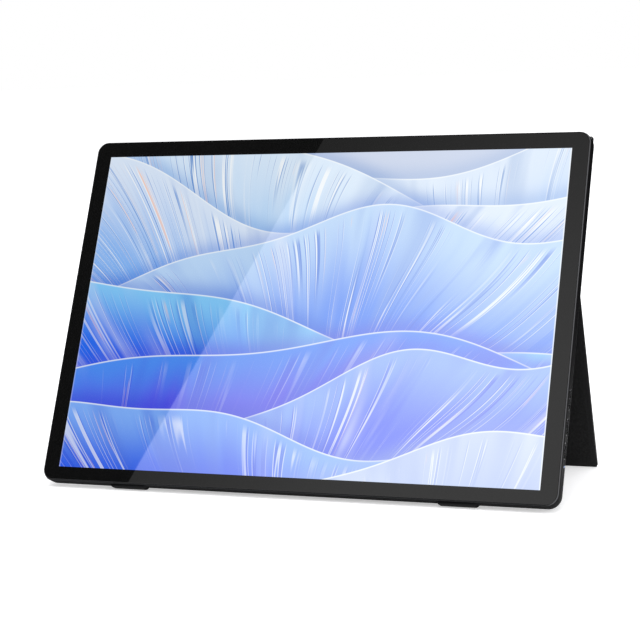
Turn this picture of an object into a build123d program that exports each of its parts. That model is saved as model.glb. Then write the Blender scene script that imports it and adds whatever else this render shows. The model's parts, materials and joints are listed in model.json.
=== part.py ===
from build123d import *
from math import atan2, cos, degrees, radians, sin
import os

# A portable monitor that stands on two feet and a folding rear leaf, in millimetres.
# It is built upright: X to the viewer's right, Y from the front to the back, Z up along the
# screen, with Y = 0 on the front of the glass and Z = 0 at the lit area's bottom edge.
# At the end everything leans back until the feet and the leaf's tip stand on one floor.

# The lit area and the body round it
screen_width = 285.0
screen_height = 190.0
side_border = 10.2
top_border = 10.0
bottom_border = 8.4
corner_radius = 7.0

# The side frame and the rear shell
frame_wall = 1.2
rim_width = 0.7
rim_bevel_width = 0.55
rim_bevel_depth = 1.4
ledge_thick = 0.8
shell_wall = 1.0
shell_round = 0.7
fit_gap = 0.1
loose_gap = 0.25

# The layers from the glass to the tray
glass_thick = 0.8
glass_chamfer = 0.12
mask_thick = 0.08
gasket_thick = 0.12
polariser_thick = 0.12
cell_sheet_thick = 0.48
film_thick = 0.1
guide_thick = 0.55
reflector_thick = 0.15
tray_thick = 0.3
tray_wall = 0.25
film_margin = 1.2
cell_margin = 2.2
panel_frame_width = 1.0
driver_ledge = 2.6
chip_length = 22.0
chip_height = 1.2
chip_thick = 0.3
chip_count = 4
led_length = 3.0
led_height = 1.0
led_count = 36
strip_thick = 0.15
foil_thick = 0.12
foil_width = 50.0

# The boards behind the tray
board_thick = 0.8
board_gap = 0.65
back_room = 3.25
main_board_width = 88.8
main_board_bottom = 11.0
main_board_top = 64.0
key_board_width = 18.0
key_board_margin = 7.0
board_end_gap = 6.0
panel_board_bottom = -3.2
panel_board_top = 9.0
can_size = 26.0
can_height = 1.4
can_wall = 0.2
processor_size = 14.0
processor_thick = 1.0
cable_thick = 0.2
display_cable_width = 8.0
key_cable_width = 5.0
plug_height = 1.2
plug_depth = 4.0
supply_chip_size = 5.0
chip_pitch = 7.5
coil_inset = 9.0
coil_radius = 2.2
wire_radius = 0.35
wire_bend = 4.0
wire_spread = 0.85
cable_bend = 2.5
foil_bend = 0.6

# The sockets in the right side and the sockets' places
socket_gap = 0.25
socket_recess = 0.15
socket_wall = 0.3
usb_width = 8.94
usb_height = 3.2
usb_tongue_width = 6.6
usb_tongue_thick = 0.7
hdmi_width = 11.2
hdmi_height = 3.2
hdmi_taper = 1.0
hdmi_tongue_width = 8.4
hdmi_tongue_thick = 0.6
tongue_recess = 0.65
socket_block = 1.5
usb_lower_up = 22.0
usb_pitch = 13.0
hdmi_pitch = 14.7
light_drop = 8.0
light_radius = 0.5
cut_past = 1.0

# The keys in the left side
key_depth_place = 4.4
key_height = 2.2
key_proud = 0.4
key_slot_gap = 0.25
power_key_length = 7.0
power_key_up = 62.0
power_key_travel = 0.3
flange_thick = 0.55
flange_lip = 0.6
rocker_length = 16.0
rocker_up = 42.0
rocker_turn = 2.5
rocker_pin_radius = 0.5
rocker_pin_gap = 0.04
rocker_lug_radius = 1.1
rocker_reach = 5.5
ear_thick = 0.9
switch_length = 3.4
switch_gap = 0.35
dome_radius = 0.8
dome_height = 0.4
switch_depth = 2.0

# The speakers
speaker_length = 30.0
speaker_height = 13.0
speaker_inset = 45.3
speaker_wall = 2.0
dome_edge = 0.5
slot_length = 6.0
slot_width = 1.0
slot_pitch = 2.4
slot_count = 10

# The feet
foot_place = 97.5
foot_length = 22.5
foot_proud = 1.5
foot_front = 1.6
foot_back = 7.0
foot_flat = 1.0
foot_slant = 1.2
foot_stem_length = 16.0
foot_stem_depth = 2.4

# The rear stand: a fixed upper plate and a folding leaf
stand_gap = 0.2
plate_thick = 2.6
plate_side_inset = 1.4
plate_top_inset = 0.2
plate_corner = 0.7
skin_thick = 0.4
turned_edge = 3.0
hinge_up = 111.0
hinge_gap = 0.3
leaf_reach = 106.8
leaf_open = 41.5
leaf_limit = 105.0
leaf_end_gap = 0.6
hinge_place = 95.0
hinge_length = 24.0
hinge_pin_radius = 0.6
knuckle_length = 6.0
washer_thick = 0.4
running_gap = 0.03
bracket_thick = 0.6
bracket_reach = 14.0
bracket_half = 11.0
grip_inset = 25.0
grip_thick = 1.3
grip_depth = 2.0
magnet_length = 20.0
magnet_width = 5.0
magnet_thick = 1.2
magnet_up = 10.0

# The screws
screw_radius = 0.7
screw_head_radius = 1.3
screw_head_thick = 0.5
screw_slot_width = 0.35
boss_radius = 1.7
boss_inset = 1.3
case_screw_corner = 14.0
case_screw_row = 60.0
hinge_screw_place = 7.0
hinge_screw_up = 8.0
leaf_screw_down = 10.0
tiny = 0.05

# Sizes that follow from the ones above
body_width = screen_width + 2 * side_border
body_half = body_width / 2
body_bottom = -bottom_border
body_top = screen_height + top_border
body_middle = (body_top + body_bottom) / 2
body_height = body_top - body_bottom
frame_inner = body_half - frame_wall

mask_front = glass_thick
ledge_front = mask_front + mask_thick + gasket_thick
ledge_back = ledge_front + ledge_thick
cell_front = ledge_front + polariser_thick
cell_step = cell_front + cell_sheet_thick
cell_back = cell_step + cell_sheet_thick
film_front = cell_back + polariser_thick
guide_front = film_front + 3 * film_thick
reflector_front = guide_front + guide_thick
tray_front = reflector_front + reflector_thick
tray_back = tray_front + tray_thick
shell_front = tray_back + back_room
body_depth = shell_front + shell_wall

film_half = screen_width / 2 + film_margin
cell_half = screen_width / 2 + cell_margin
panel_half = film_half + fit_gap + panel_frame_width
tray_half = panel_half + tiny + tray_wall
tray_top = screen_height + tray_half - screen_width / 2
cell_bottom = -cell_margin / 2 - driver_ledge
panel_bottom = cell_bottom - fit_gap
tray_bottom = panel_bottom - tiny - tray_wall
foil_bottom = tray_bottom - 3 * foil_thick - fit_gap

board_front = tray_back + board_gap
board_back = board_front + board_thick
speaker_place = body_half - speaker_inset
panel_board_half = speaker_place - speaker_length / 2 - board_end_gap
main_board_right = frame_inner - 3 * fit_gap
main_board_left = main_board_right - main_board_width
socket_back_x = tray_half + socket_gap
socket_mouth_x = body_half - socket_recess
socket_depth_place = (board_front + board_back) / 2
usb_upper_up = usb_lower_up + usb_pitch
hdmi_up = usb_upper_up + hdmi_pitch
light_up = usb_lower_up - light_drop

hinge_y = body_depth + stand_gap + plate_thick / 2
half_plate = plate_thick / 2
plate_half = body_half - plate_side_inset
plate_bottom = hinge_up + half_plate + hinge_gap
plate_top = body_top - plate_top_inset
leaf_length = leaf_reach - leaf_end_gap
magnet_place = speaker_place + (speaker_length + magnet_length) / 2 + 4 * loose_gap

# The floor passes through the back of the feet and the leaf's tip, and so sets the lean
foot_bottom = body_bottom - foot_proud
touch_y = foot_back - foot_flat
tip_y = hinge_y + leaf_reach * sin(radians(leaf_open))
tip_z = hinge_up - leaf_reach * cos(radians(leaf_open))
lean = degrees(atan2(tip_z - foot_bottom, tip_y - touch_y))
floor_level = foot_bottom * cos(radians(lean)) - touch_y * sin(radians(lean))


def block(left, right, front, back, bottom, top):
    """A box between two limits in X, Y and Z."""
    centre = Pos((left + right) / 2, (front + back) / 2, (bottom + top) / 2)
    return centre * Box(right - left, back - front, top - bottom)


def slab(shape, front, back):
    """Give a flat shape drawn in X and Z a thickness, from the front depth to the back one."""
    return extrude(Plane.XZ.offset(-front) * shape, amount=front - back)


def outline(inset):
    """The body's outline seen from the front, drawn in by an inset."""
    size = (body_width - 2 * inset, body_height - 2 * inset)
    return Pos(0, body_middle) * RectangleRounded(*size, corner_radius - inset)


def area(half_width, bottom, top):
    """A plain rectangle centred on X = 0."""
    return Pos(0, (bottom + top) / 2) * Rectangle(2 * half_width, top - bottom)


def upright_rod(radius, x, z, front, back):
    """A round rod along Y."""
    return slab(Pos(x, z) * Circle(radius), front, back)


def side_rod(radius, y, z, left, right):
    """A round rod along X."""
    return extrude(Plane.YZ.offset(left) * Pos(y, z) * Circle(radius), amount=right - left)


def bent_strip(plane, points, bend, thick, width):
    """A thin strip that follows a bent line, half its width to each side of the plane."""
    face = trace(FilletPolyline(*points, radius=bend), line_width=thick)
    return extrude(plane * face, amount=width / 2, both=True)


def group(pieces):
    """Several separate solids in one node."""
    return Compound(list(pieces))


def mirrored(shape):
    """The same shape on the other side of the middle."""
    return mirror(shape, about=Plane.YZ)


# The front: glass, border and the liquid crystal cell


def cover_glass():
    glass = slab(outline(rim_width + fit_gap), 0, glass_thick)
    front_edges = glass.faces().sort_by(Axis.Y)[0].edges()
    return chamfer(front_edges, glass_chamfer)


def border_mask():
    border = slab(outline(rim_width + 4 * fit_gap), mask_front, mask_front + mask_thick)
    return border - slab(area(screen_width / 2, 0, screen_height), mask_front, ledge_front)


def optical_adhesive():
    window = area(screen_width / 2 - tiny, tiny, screen_height - tiny)
    whole = area(cell_half, -cell_margin / 2, screen_height + cell_margin)
    step = mask_front + mask_thick
    return slab(window, mask_front, step) + slab(whole, step, ledge_front)


def glass_gasket():
    ring = slab(outline(rim_width + 4 * fit_gap), mask_front + mask_thick, ledge_front)
    return ring - slab(window_area(), mask_front, ledge_front)


def window_area():
    """The opening in the frame's ledge that the panel passes through."""
    gap = 2 * loose_gap
    return area(tray_half + gap, foil_bottom - foil_thick - gap / 2, tray_top + gap)


def polarisers():
    top = screen_height + cell_margin
    front = slab(area(cell_half, -cell_margin / 2, top), ledge_front, cell_front)
    rear = slab(area(cell_half, cell_bottom, top), cell_back, film_front)
    return group([front, rear])


def lcd_cell():
    top = screen_height + cell_margin
    front = slab(area(cell_half, -cell_margin / 2, top), cell_front, cell_step)
    rear = slab(area(cell_half, cell_bottom, top), cell_step, cell_back)
    return group([front, rear])


def driver_chips():
    pitch = screen_width / chip_count
    first = -screen_width / 2 + pitch / 2
    top = -cell_margin / 2 - fit_gap
    chips = []
    for number in range(chip_count):
        x = first + number * pitch
        half = chip_length / 2
        chips.append(block(x - half, x + half, cell_step - chip_thick, cell_step,
                           top - chip_height, top))
    return group(chips)


def panel_foil():
    """The foil from the driver ledge, round the tray's edge, to the panel board."""
    front = cell_step - foil_thick / 2
    back = panel_board_back() + foil_thick / 2
    start = cell_bottom + driver_ledge - fit_gap - chip_height - 3 * fit_gap
    end = panel_board_bottom + 10 * fit_gap
    points = [(front, start), (front, foil_bottom), (back, foil_bottom), (back, end)]
    return bent_strip(Plane.YZ, points, foil_bend, foil_thick, foil_width)


# The backlight


def film(front, thick):
    shape = area(film_half, -film_margin, screen_height + film_margin)
    return slab(shape, front, front + thick)


def prism_films():
    first = film_front + film_thick
    return group([film(first, film_thick), film(first + film_thick, film_thick)])


def led_strip():
    top = -film_margin
    pitch = screen_width / led_count
    first = -screen_width / 2 + pitch / 2
    back = tray_front - tiny
    strip = block(-film_half, film_half, guide_front - film_thick, back,
                  top - led_height - strip_thick, top - led_height)
    pieces = [strip]
    for number in range(led_count):
        x = first + number * pitch
        pieces.append(block(x - led_length / 2, x + led_length / 2, guide_front,
                            back, top - led_height, top))
    return group(pieces)


def panel_frame():
    top = screen_height + film_margin + fit_gap
    inner_bottom = -film_margin - led_height - strip_thick - fit_gap
    ring = slab(area(panel_half, panel_bottom, top + panel_frame_width), film_front, tray_front)
    return ring - slab(area(film_half + fit_gap, inner_bottom, top), film_front, tray_front)


def panel_tray():
    tray = slab(area(tray_half, tray_bottom, tray_top), film_front, tray_back)
    inside = area(tray_half - tray_wall, tray_bottom + tray_wall, tray_top - tray_wall)
    return tray - slab(inside, film_front, tray_front)


def panel_board_back():
    return tray_back + board_thick


def panel_board():
    strip = block(-panel_board_half, panel_board_half, tray_back, panel_board_back(),
                  panel_board_bottom, panel_board_top)
    half = display_cable_width
    tab = block(panel_plug_x() - half, panel_plug_x() + half, tray_back, panel_board_back(),
                panel_board_top, cable_up() + half)
    return strip + tab


def panel_board_parts():
    """The timing chip, two supply chips and the cable plug on the panel board."""
    back = panel_board_back()
    middle = (panel_board_bottom + panel_board_top) / 2
    size = (panel_board_top - panel_board_bottom) / 2
    parts = []
    for place in (-2, -1, 1):
        x = place * panel_board_half / 3
        chip = size if place == -1 else size / 2
        parts.append(block(x - chip / 2, x + chip / 2, back, back + board_thick,
                           middle - chip / 2, middle + chip / 2))
    half = display_cable_width / 2 + 2 * loose_gap
    x = panel_plug_x()
    parts.append(block(x - half, x, back, back + plug_height,
                       cable_up() - half, cable_up() + half))
    return group(parts)


# The side frame and the rear shell


def case_screw_places():
    """The middles of the screws that hold the rear shell to the side frame."""
    side = frame_inner - boss_inset
    heights = (body_bottom + case_screw_corner, body_middle, body_top - case_screw_corner)
    places = [(sign * side, z) for sign in (-1, 1) for z in heights]
    top = body_top - frame_wall - boss_inset
    bottom = body_bottom + frame_wall + boss_inset
    places += [(x, top) for x in (-case_screw_row, 0, case_screw_row)]
    places += [(x, bottom) for x in (-case_screw_row, case_screw_row)]
    return places


def frame_ring():
    """The bevelled ring with its ledge for the glass and its open middle."""
    straight = slab(outline(0), rim_bevel_depth, shell_front)
    angle = degrees(atan2(rim_bevel_width, rim_bevel_depth))
    front = Plane.XZ.offset(-rim_bevel_depth) * outline(0)
    ring = straight + extrude(front, amount=rim_bevel_depth, taper=angle)
    ring -= slab(outline(rim_width), 0, ledge_front)
    ring -= slab(window_area(), 0, shell_front)
    return ring - slab(outline(frame_wall), ledge_back, shell_front)


def screw_bosses():
    """Posts along the frame's inner wall that the case screws turn into."""
    bosses = []
    for x, z in case_screw_places():
        bosses.append(upright_rod(boss_radius, x, z, board_front, shell_front))
    return bosses


def rocker_ears():
    """Two ears on the left wall that hold the rocker's pin."""
    pin_x = rocker_pin_x()
    ears = []
    for side in (-1, 1):
        inner = key_depth_place + side * (key_height / 2 + key_slot_gap)
        outer = inner + side * ear_thick
        front, back = sorted((inner, outer))
        ears.append(block(-frame_inner, pin_x + rocker_lug_radius, front, back,
                          rocker_up - rocker_lug_radius, rocker_up + rocker_lug_radius))
    return ears


def foot_stem(x, gap):
    """The part of a foot that sits in the frame's bottom wall, with a gap round it."""
    middle = (foot_front + foot_back) / 2
    half = foot_stem_length / 2 + gap
    return block(x - half, x + half, middle - foot_stem_depth / 2 - gap,
                 middle + foot_stem_depth / 2 + gap,
                 body_bottom, body_bottom + frame_wall + gap)


def side_frame():
    frame = frame_ring()
    for piece in screw_bosses() + rocker_ears():
        frame += piece
    for x, z in case_screw_places():
        frame -= upright_rod(screw_radius, x, z, board_front, shell_front)
    for shape, z in socket_shapes(fit_gap):
        frame -= side_cut(shape, z)
    frame -= side_rod(light_radius + tiny, light_y(), light_up, frame_inner - cut_past,
                      body_half + cut_past)
    frame -= key_cut(power_key_length, power_key_up)
    frame -= key_cut(rocker_length, rocker_up)
    frame -= upright_rod(rocker_pin_radius + tiny / 5, rocker_pin_x(), rocker_up,
                         0, shell_front)
    for x in (-foot_place, foot_place):
        frame -= foot_stem(x, tiny)
    return frame


def rear_shell():
    shell = slab(outline(0), shell_front, body_depth)
    shell = fillet(shell.faces().sort_by(Axis.Y)[-1].edges(), shell_round)
    for x, z in main_board_screw_places():
        shell += upright_rod(boss_radius, x, z, board_back, shell_front)
        shell -= upright_rod(screw_radius, x, z, board_back, shell_front)
    for x, z in hinge_screw_places():
        shell += upright_rod(boss_radius, x, z, board_back, shell_front)
        shell -= upright_rod(screw_radius, x, z, board_back, body_depth)
    for x, z in case_screw_places():
        shell -= upright_rod(screw_radius + fit_gap, x, z, shell_front, body_depth)
        shell -= screw_head(x, z, fit_gap)
    for x, z in speaker_slot_places():
        slot = Pos(x, z) * SlotOverall(slot_length, slot_width, rotation=90)
        shell -= slab(slot, shell_front, body_depth)
    return shell


def screw_head(x, z, gap):
    """A countersunk head whose flat face is level with the shell's back."""
    face = Plane.XZ.offset(-body_depth) * Pos(x, z) * Circle(screw_head_radius + gap)
    return extrude(face, amount=screw_head_thick, taper=45)


def case_screws():
    screws = []
    for x, z in case_screw_places():
        length = screw_radius - tiny / 5
        shank = upright_rod(length, x, z, board_back, body_depth - screw_head_thick)
        screws.append(cross_slot(screw_head(x, z, 0) + shank, x, z, body_depth, 1))
    return group(screws)


def cross_slot(screw, x, z, face, into):
    """Cut a cross into a screw's head; into is the way from the mouth to the head's face."""
    half = screw_head_radius * 0.6
    depth = screw_head_thick / 2
    front, back = sorted((face, face - into * depth))
    slot = screw_slot_width / 2
    screw -= block(x - half, x + half, front, back, z - slot, z + slot)
    return screw - block(x - slot, x + slot, front, back, z - half, z + half)


# The main board


def cable_up():
    """The height of the display cable's middle, above the speaker plugs."""
    below = max(speaker_plug_heights()) + plug_depth / 2
    return below + display_cable_width / 2 + 6 * loose_gap


def main_plug_x():
    return main_board_left + loose_gap


def panel_plug_x():
    return main_board_left - 2 * display_cable_width


def main_board_screw_places():
    left = main_board_left + 2.5 * boss_radius
    right = socket_back_x - 4 * boss_radius
    top = main_board_top - 1.6 * boss_radius
    bottom = main_board_bottom + 1.6 * boss_radius
    return [(left, top), (right, top), (speaker_place, bottom)]


def main_board():
    board = block(main_board_left, main_board_right, board_front, board_back,
                  main_board_bottom, main_board_top)
    for shape, z in socket_shapes(fit_gap):
        half = shape.bounding_box().size.Y / 2
        board -= block(socket_back_x - fit_gap, body_half, board_front, board_back,
                       z - half, z + half)
    for x, z in main_board_screw_places():
        board -= upright_rod(screw_radius + fit_gap, x, z, board_front, board_back)
    return board


def board_screws():
    screws = []
    for x, z in main_board_screw_places():
        head = upright_rod(screw_head_radius, x, z, board_front - screw_head_thick, board_front)
        shank = upright_rod(screw_radius - tiny / 5, x, z, board_front,
                            shell_front - fit_gap)
        screws.append(cross_slot(head + shank, x, z, board_front - screw_head_thick, -1))
    return group(screws)


def processor_place():
    """The middle of the picture processor, in X and Z."""
    return (main_board_left + can_size, (main_board_bottom + main_board_top) / 2)


def square_at(place, size, front, back):
    x, z = place
    half = size / 2
    return block(x - half, x + half, front, back, z - half, z + half)


def processor_chip():
    return square_at(processor_place(), processor_size, board_back, board_back + processor_thick)


def shield_can():
    place = processor_place()
    can = square_at(place, can_size, board_back, board_back + can_height)
    return can - square_at(place, can_size - 2 * can_wall, board_back,
                           board_back + can_height - can_wall)


def thermal_pads():
    """One pad from the chip to the can, and one from the can to the rear shell."""
    place = processor_place()
    inner = square_at(place, processor_size - 1, board_back + processor_thick,
                      board_back + can_height - can_wall)
    outer = square_at(place, processor_size, board_back + can_height, shell_front)
    return group([inner, outer])


def board_parts():
    """Supply chips, coils and plugs on the back of the main board."""
    coil_x = socket_back_x - coil_inset
    middle = (main_board_bottom + main_board_top) / 2
    parts = []
    for column in (1, 2, 3):
        for row in range(3):
            size = supply_chip_size - row
            place = (coil_x - chip_pitch * column, middle + chip_pitch * (row - 1))
            parts.append(square_at(place, size, board_back, board_back + board_thick))
    for row in (-1, 1):
        parts.append(upright_rod(coil_radius, coil_x, middle + row * chip_pitch, board_back,
                                 board_back + plug_height))
    half = display_cable_width / 2 + 2 * loose_gap
    x = main_plug_x()
    parts.append(block(x, x + plug_depth, board_back, board_back + plug_height,
                       cable_up() - half, cable_up() + half))
    for z in speaker_plug_heights():
        parts.append(block(x, x + plug_depth, board_back, board_back + plug_height,
                           z - plug_depth / 2, z + plug_depth / 2))
    return group(parts)


def display_cable():
    """The flat cable from the main board's plug to the panel board's plug."""
    from_x = main_plug_x()
    high = board_back + plug_height / 2
    low = panel_board_back() + plug_height / 2
    points = [(from_x, high), (from_x - cable_bend * 2, high), (from_x - cable_bend * 4, low),
              (panel_plug_x(), low)]
    plane = Plane.XY.offset(cable_up())
    return bent_strip(plane, points, cable_bend, cable_thick, display_cable_width)


# The sockets


def usb_shape(grow):
    size = (usb_width + 2 * grow, usb_height + 2 * grow)
    return SlotOverall(*size, rotation=90)


def hdmi_shape(grow):
    """A wide socket mouth whose front side is narrower than its back side."""
    wide = hdmi_width / 2 + grow
    narrow = wide - hdmi_taper
    half = hdmi_height / 2 + grow
    points = [(-half, narrow), (0, wide), (half, wide), (half, -wide), (0, -wide),
              (-half, -narrow)]
    return make_face(Polyline(*points, close=True))


def socket_shapes(grow):
    """Each socket's outer shape and its height up the side."""
    return [(hdmi_shape(grow), hdmi_up), (usb_shape(grow), usb_upper_up),
            (usb_shape(grow), usb_lower_up)]


def along_side(shape, z, left, right):
    """Give a shape drawn in Y and Z a length along X, at the sockets' depth."""
    plane = Plane.YZ.offset(left) * Pos(socket_depth_place, z)
    return extrude(plane * shape, amount=right - left)


def side_cut(shape, z):
    return along_side(shape, z, socket_back_x - fit_gap, body_half + cut_past)


def socket_shell(shape_of, z):
    outer = along_side(shape_of(0), z, socket_back_x, socket_mouth_x)
    return outer - along_side(shape_of(-socket_wall), z, socket_back_x, socket_mouth_x)


def socket_tongue(shape_of, z, width, thick):
    """The plastic block at the back of a socket, with the tongue that holds the contacts."""
    back = along_side(shape_of(-socket_wall), z, socket_back_x, socket_back_x + socket_block)
    front = socket_mouth_x - tongue_recess
    middle = socket_depth_place
    return back + block(socket_back_x, front, middle - thick / 2, middle + thick / 2,
                        z - width / 2, z + width / 2)


def usb_tongues():
    return group([socket_tongue(usb_shape, z, usb_tongue_width, usb_tongue_thick)
                  for z in (usb_upper_up, usb_lower_up)])


def light_y():
    """The status light's pipe lies on the back of the main board."""
    return board_back + light_radius + tiny


def status_light():
    return side_rod(light_radius, light_y(), light_up, socket_back_x, body_half)


# The keys


def rocker_pin_x():
    return -frame_inner + rocker_lug_radius + loose_gap / 2


def key_cut(length, z):
    half = length / 2 + key_slot_gap
    deep = key_height / 2 + key_slot_gap
    return block(-body_half - cut_past, -frame_inner, key_depth_place - deep, key_depth_place + deep,
                 z - half, z + half)


def key_bar(length, z, inner):
    """A key's bar through the wall, with rounded ends, from its face to an inner depth."""
    plane = Plane.YZ.offset(-body_half - key_proud) * Pos(key_depth_place, z)
    shape = RectangleRounded(key_height, length, key_height / 2 - tiny)
    bar = extrude(plane * shape, amount=inner + body_half + key_proud)
    return chamfer(bar.faces().sort_by(Axis.X)[0].edges(), tiny * 3)


def power_key():
    behind = -frame_inner + fit_gap
    bar = key_bar(power_key_length, power_key_up, behind)
    half = power_key_length / 2 + flange_lip
    deep = key_height / 2 + flange_lip
    return bar + block(behind, behind + flange_thick, key_depth_place - deep,
                       key_depth_place + deep, power_key_up - half, power_key_up + half)


def rocker_inner():
    return -frame_inner + flange_thick


def menu_rocker():
    bar = key_bar(rocker_length, rocker_up, rocker_inner())
    half = key_height / 2
    pin_x = rocker_pin_x()
    front, back = key_depth_place - half, key_depth_place + half
    bar += upright_rod(rocker_lug_radius, pin_x, rocker_up, front, back)
    return bar - upright_rod(rocker_pin_radius + rocker_pin_gap, pin_x, rocker_up, front, back)


def rocker_pin():
    reach = key_height / 2 + key_slot_gap + ear_thick
    return upright_rod(rocker_pin_radius, rocker_pin_x(), rocker_up,
                       key_depth_place - reach, key_depth_place + reach)


def key_board_front():
    return key_depth_place + key_height / 2 - loose_gap


def switch(face_x, z):
    """A small switch whose dome faces a key, standing on the key board."""
    top = face_x + switch_gap
    body = top + dome_height
    front = key_depth_place - key_height / 2 + loose_gap
    base = block(body, body + switch_depth, front, key_board_front(), z - switch_length / 2,
                 z + switch_length / 2)
    return base + side_rod(dome_radius, key_depth_place, z, top, body)


def key_switches():
    power_face = -frame_inner + fit_gap + flange_thick
    switches = [switch(power_face, power_key_up)]
    for side in (-1, 1):
        switches.append(switch(rocker_inner(), rocker_up + side * rocker_reach))
    return group(switches)


def key_board_left():
    return -frame_inner + key_slot_gap + flange_thick + loose_gap


def key_board():
    left = key_board_left()
    board = block(left, left + key_board_width, key_board_front(),
                  key_board_front() + board_thick,
                  rocker_up - rocker_length / 2 - key_board_margin,
                  power_key_up + key_board_margin)
    notch = rocker_lug_radius + 4 * fit_gap
    return board - block(left, rocker_pin_x() + 2 * notch, 0, body_depth,
                         rocker_up - notch, rocker_up + notch)


def key_cable():
    """The flat cable from the key board, along the tray's back, to the main board."""
    bend = cable_bend
    start = key_board_left() + key_board_width - 2 * bend
    high = key_board_front() - cable_thick / 2
    low = tray_back + cable_thick / 2 + tiny
    end = board_front - cable_thick / 2
    points = [(start, high), (start + 3 * bend, high), (start + 5 * bend, low),
              (main_board_left - 2 * bend, low), (main_board_left, end),
              (main_board_left + 2 * bend, end)]
    plane = Plane.XY.offset((rocker_up + power_key_up) / 2)
    return bent_strip(plane, points, bend, cable_thick, key_cable_width)


# The speakers


def speaker_bottom():
    return body_bottom + frame_wall + 5 * loose_gap


def speaker_slot_places():
    middle = speaker_bottom() + speaker_height / 2
    first = speaker_place - slot_pitch * (slot_count - 1) / 2
    return [(side * (first + number * slot_pitch), middle - slot_length / 4)
            for side in (-1, 1) for number in range(slot_count)]


def speaker():
    """A flat loudspeaker: its box, and the dome in the box's back that faces the slots."""
    front = tray_back + fit_gap
    back = shell_front - fit_gap
    half = speaker_length / 2
    bottom = speaker_bottom()
    middle = bottom + speaker_height / 2
    box = block(speaker_place - half, speaker_place + half, front, back,
                bottom, bottom + speaker_height)
    size = (speaker_length - 2 * speaker_wall, speaker_height - 2 * speaker_wall)
    pocket = Pos(speaker_place, middle) * RectangleRounded(*size, speaker_height / 4)
    step = (back - front) / 2
    box -= slab(pocket, back - step, back)
    dome_size = (size[0] - 2 * dome_edge, size[1] - 2 * dome_edge)
    dome = Pos(speaker_place, middle) * RectangleRounded(*dome_size, speaker_height / 5)
    return group([box, slab(dome, back - step, back - step / 2)])


def speaker_plug_heights():
    """The heights of the two speaker plugs on the main board, left speaker first."""
    first = main_board_bottom + plug_depth / 2 + loose_gap
    return (first, first + plug_depth + 3 * loose_gap)


def wire_route(side, step):
    """One wire from a speaker's inner end, up beside the main board and into its plug."""
    left_plug, right_plug = speaker_plug_heights()
    plug = left_plug if side < 0 else right_plug
    across = main_board_left - (3 if side < 0 else 1.5) * wire_bend
    start_x = side * (speaker_place - speaker_length / 2)
    low = speaker_bottom() + speaker_height - speaker_wall + side * step
    x = across + (step if side < 0 else -step)
    y = shell_front - wire_radius - loose_gap
    return [(start_x, y, low), (x, y, low), (x, y, plug + step), (main_plug_x(), y, plug + step)]


def speaker_wires():
    """Two insulated wires from each speaker to its plug on the main board."""
    wires = []
    for side in (-1, 1):
        for step in (-wire_spread / 2, wire_spread / 2):
            points = wire_route(side, -step if side < 0 else step)
            path = FilletPolyline(*points, radius=wire_bend)
            pen = Plane(origin=path @ 0, z_dir=path % 0) * Circle(wire_radius)
            wires.append(sweep(pen, path=path))
    return group(wires)


# The feet


def foot(x):
    """A rubber bar under the body, with slanted ends and a stem in the frame's wall."""
    half = foot_length / 2
    points = [(x - half, body_bottom), (x - half + foot_slant, foot_bottom),
              (x + half - foot_slant, foot_bottom), (x + half, body_bottom)]
    bar = slab(make_face(Polyline(*points, close=True)), foot_front, foot_back)
    return bar + foot_stem(x, 0)


# The stand's fixed plate


def plate_solid(inset):
    """The upper plate drawn in by an inset on its edges and its outer face."""
    width = 2 * (plate_half - inset)
    bottom, top = plate_bottom + inset, plate_top - inset
    shape = Pos(0, (bottom + top) / 2) * RectangleRounded(width, top - bottom, plate_corner - inset)
    return slab(shape, hinge_y - half_plate, hinge_y + half_plate - inset)


def hinge_screw_places():
    """The screws that hold both brackets of the fixed side."""
    return [(side * hinge_place + step, hinge_up + hinge_screw_up)
            for side in (-1, 1) for step in (-hinge_screw_place, hinge_screw_place)]


def swing(angle):
    """The turn of the leaf about the hinge, from closed to an angle."""
    return Pos(0, hinge_y, hinge_up) * Rot(angle, 0, 0) * Pos(0, -hinge_y, -hinge_up)


def open_leaf_room():
    """The room that the leaf needs under the plate's lower edge at its widest opening."""
    face = hinge_y + half_plate + 2 * running_gap
    return swing(leaf_limit) * block(-body_half, body_half, hinge_y, face,
                                     hinge_up - body_height, hinge_up)


def plate_core():
    core = plate_solid(skin_thick) - open_leaf_room()
    for side in (-1, 1):
        x = side * hinge_place
        core -= block(x - bracket_half - fit_gap, x + bracket_half + fit_gap, 0,
                      body_depth + stand_gap + bracket_thick + fit_gap,
                      hinge_up, hinge_up + bracket_reach + fit_gap)
    for x, z in hinge_screw_places():
        core -= upright_rod(screw_head_radius + fit_gap, x, z, 0,
                            body_depth + stand_gap + bracket_thick + screw_head_thick + fit_gap)
    return core


def plate_skin():
    """The skin over the upper plate's outer face and round its edges."""
    skin = plate_solid(0) - plate_solid(skin_thick) - open_leaf_room()
    for side in (-1, 1):
        x = side * hinge_place
        skin -= block(x - bracket_half - fit_gap, x + bracket_half + fit_gap, 0,
                      body_depth + stand_gap + bracket_thick + fit_gap,
                      hinge_up, hinge_up + bracket_reach)
    return skin


def plate_tape():
    """The sheet of tape that bonds the upper plate to the rear shell."""
    inset = turned_edge
    bottom, top = plate_bottom + bracket_reach + inset, plate_top - inset
    return slab(area(plate_half - inset, bottom, top), body_depth, body_depth + stand_gap)


# The hinges: fixed knuckles, a moving knuckle between them, a pin and washers


def hinge_rod(radius, left, right):
    return side_rod(radius, hinge_y, hinge_up, left, right)


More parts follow.
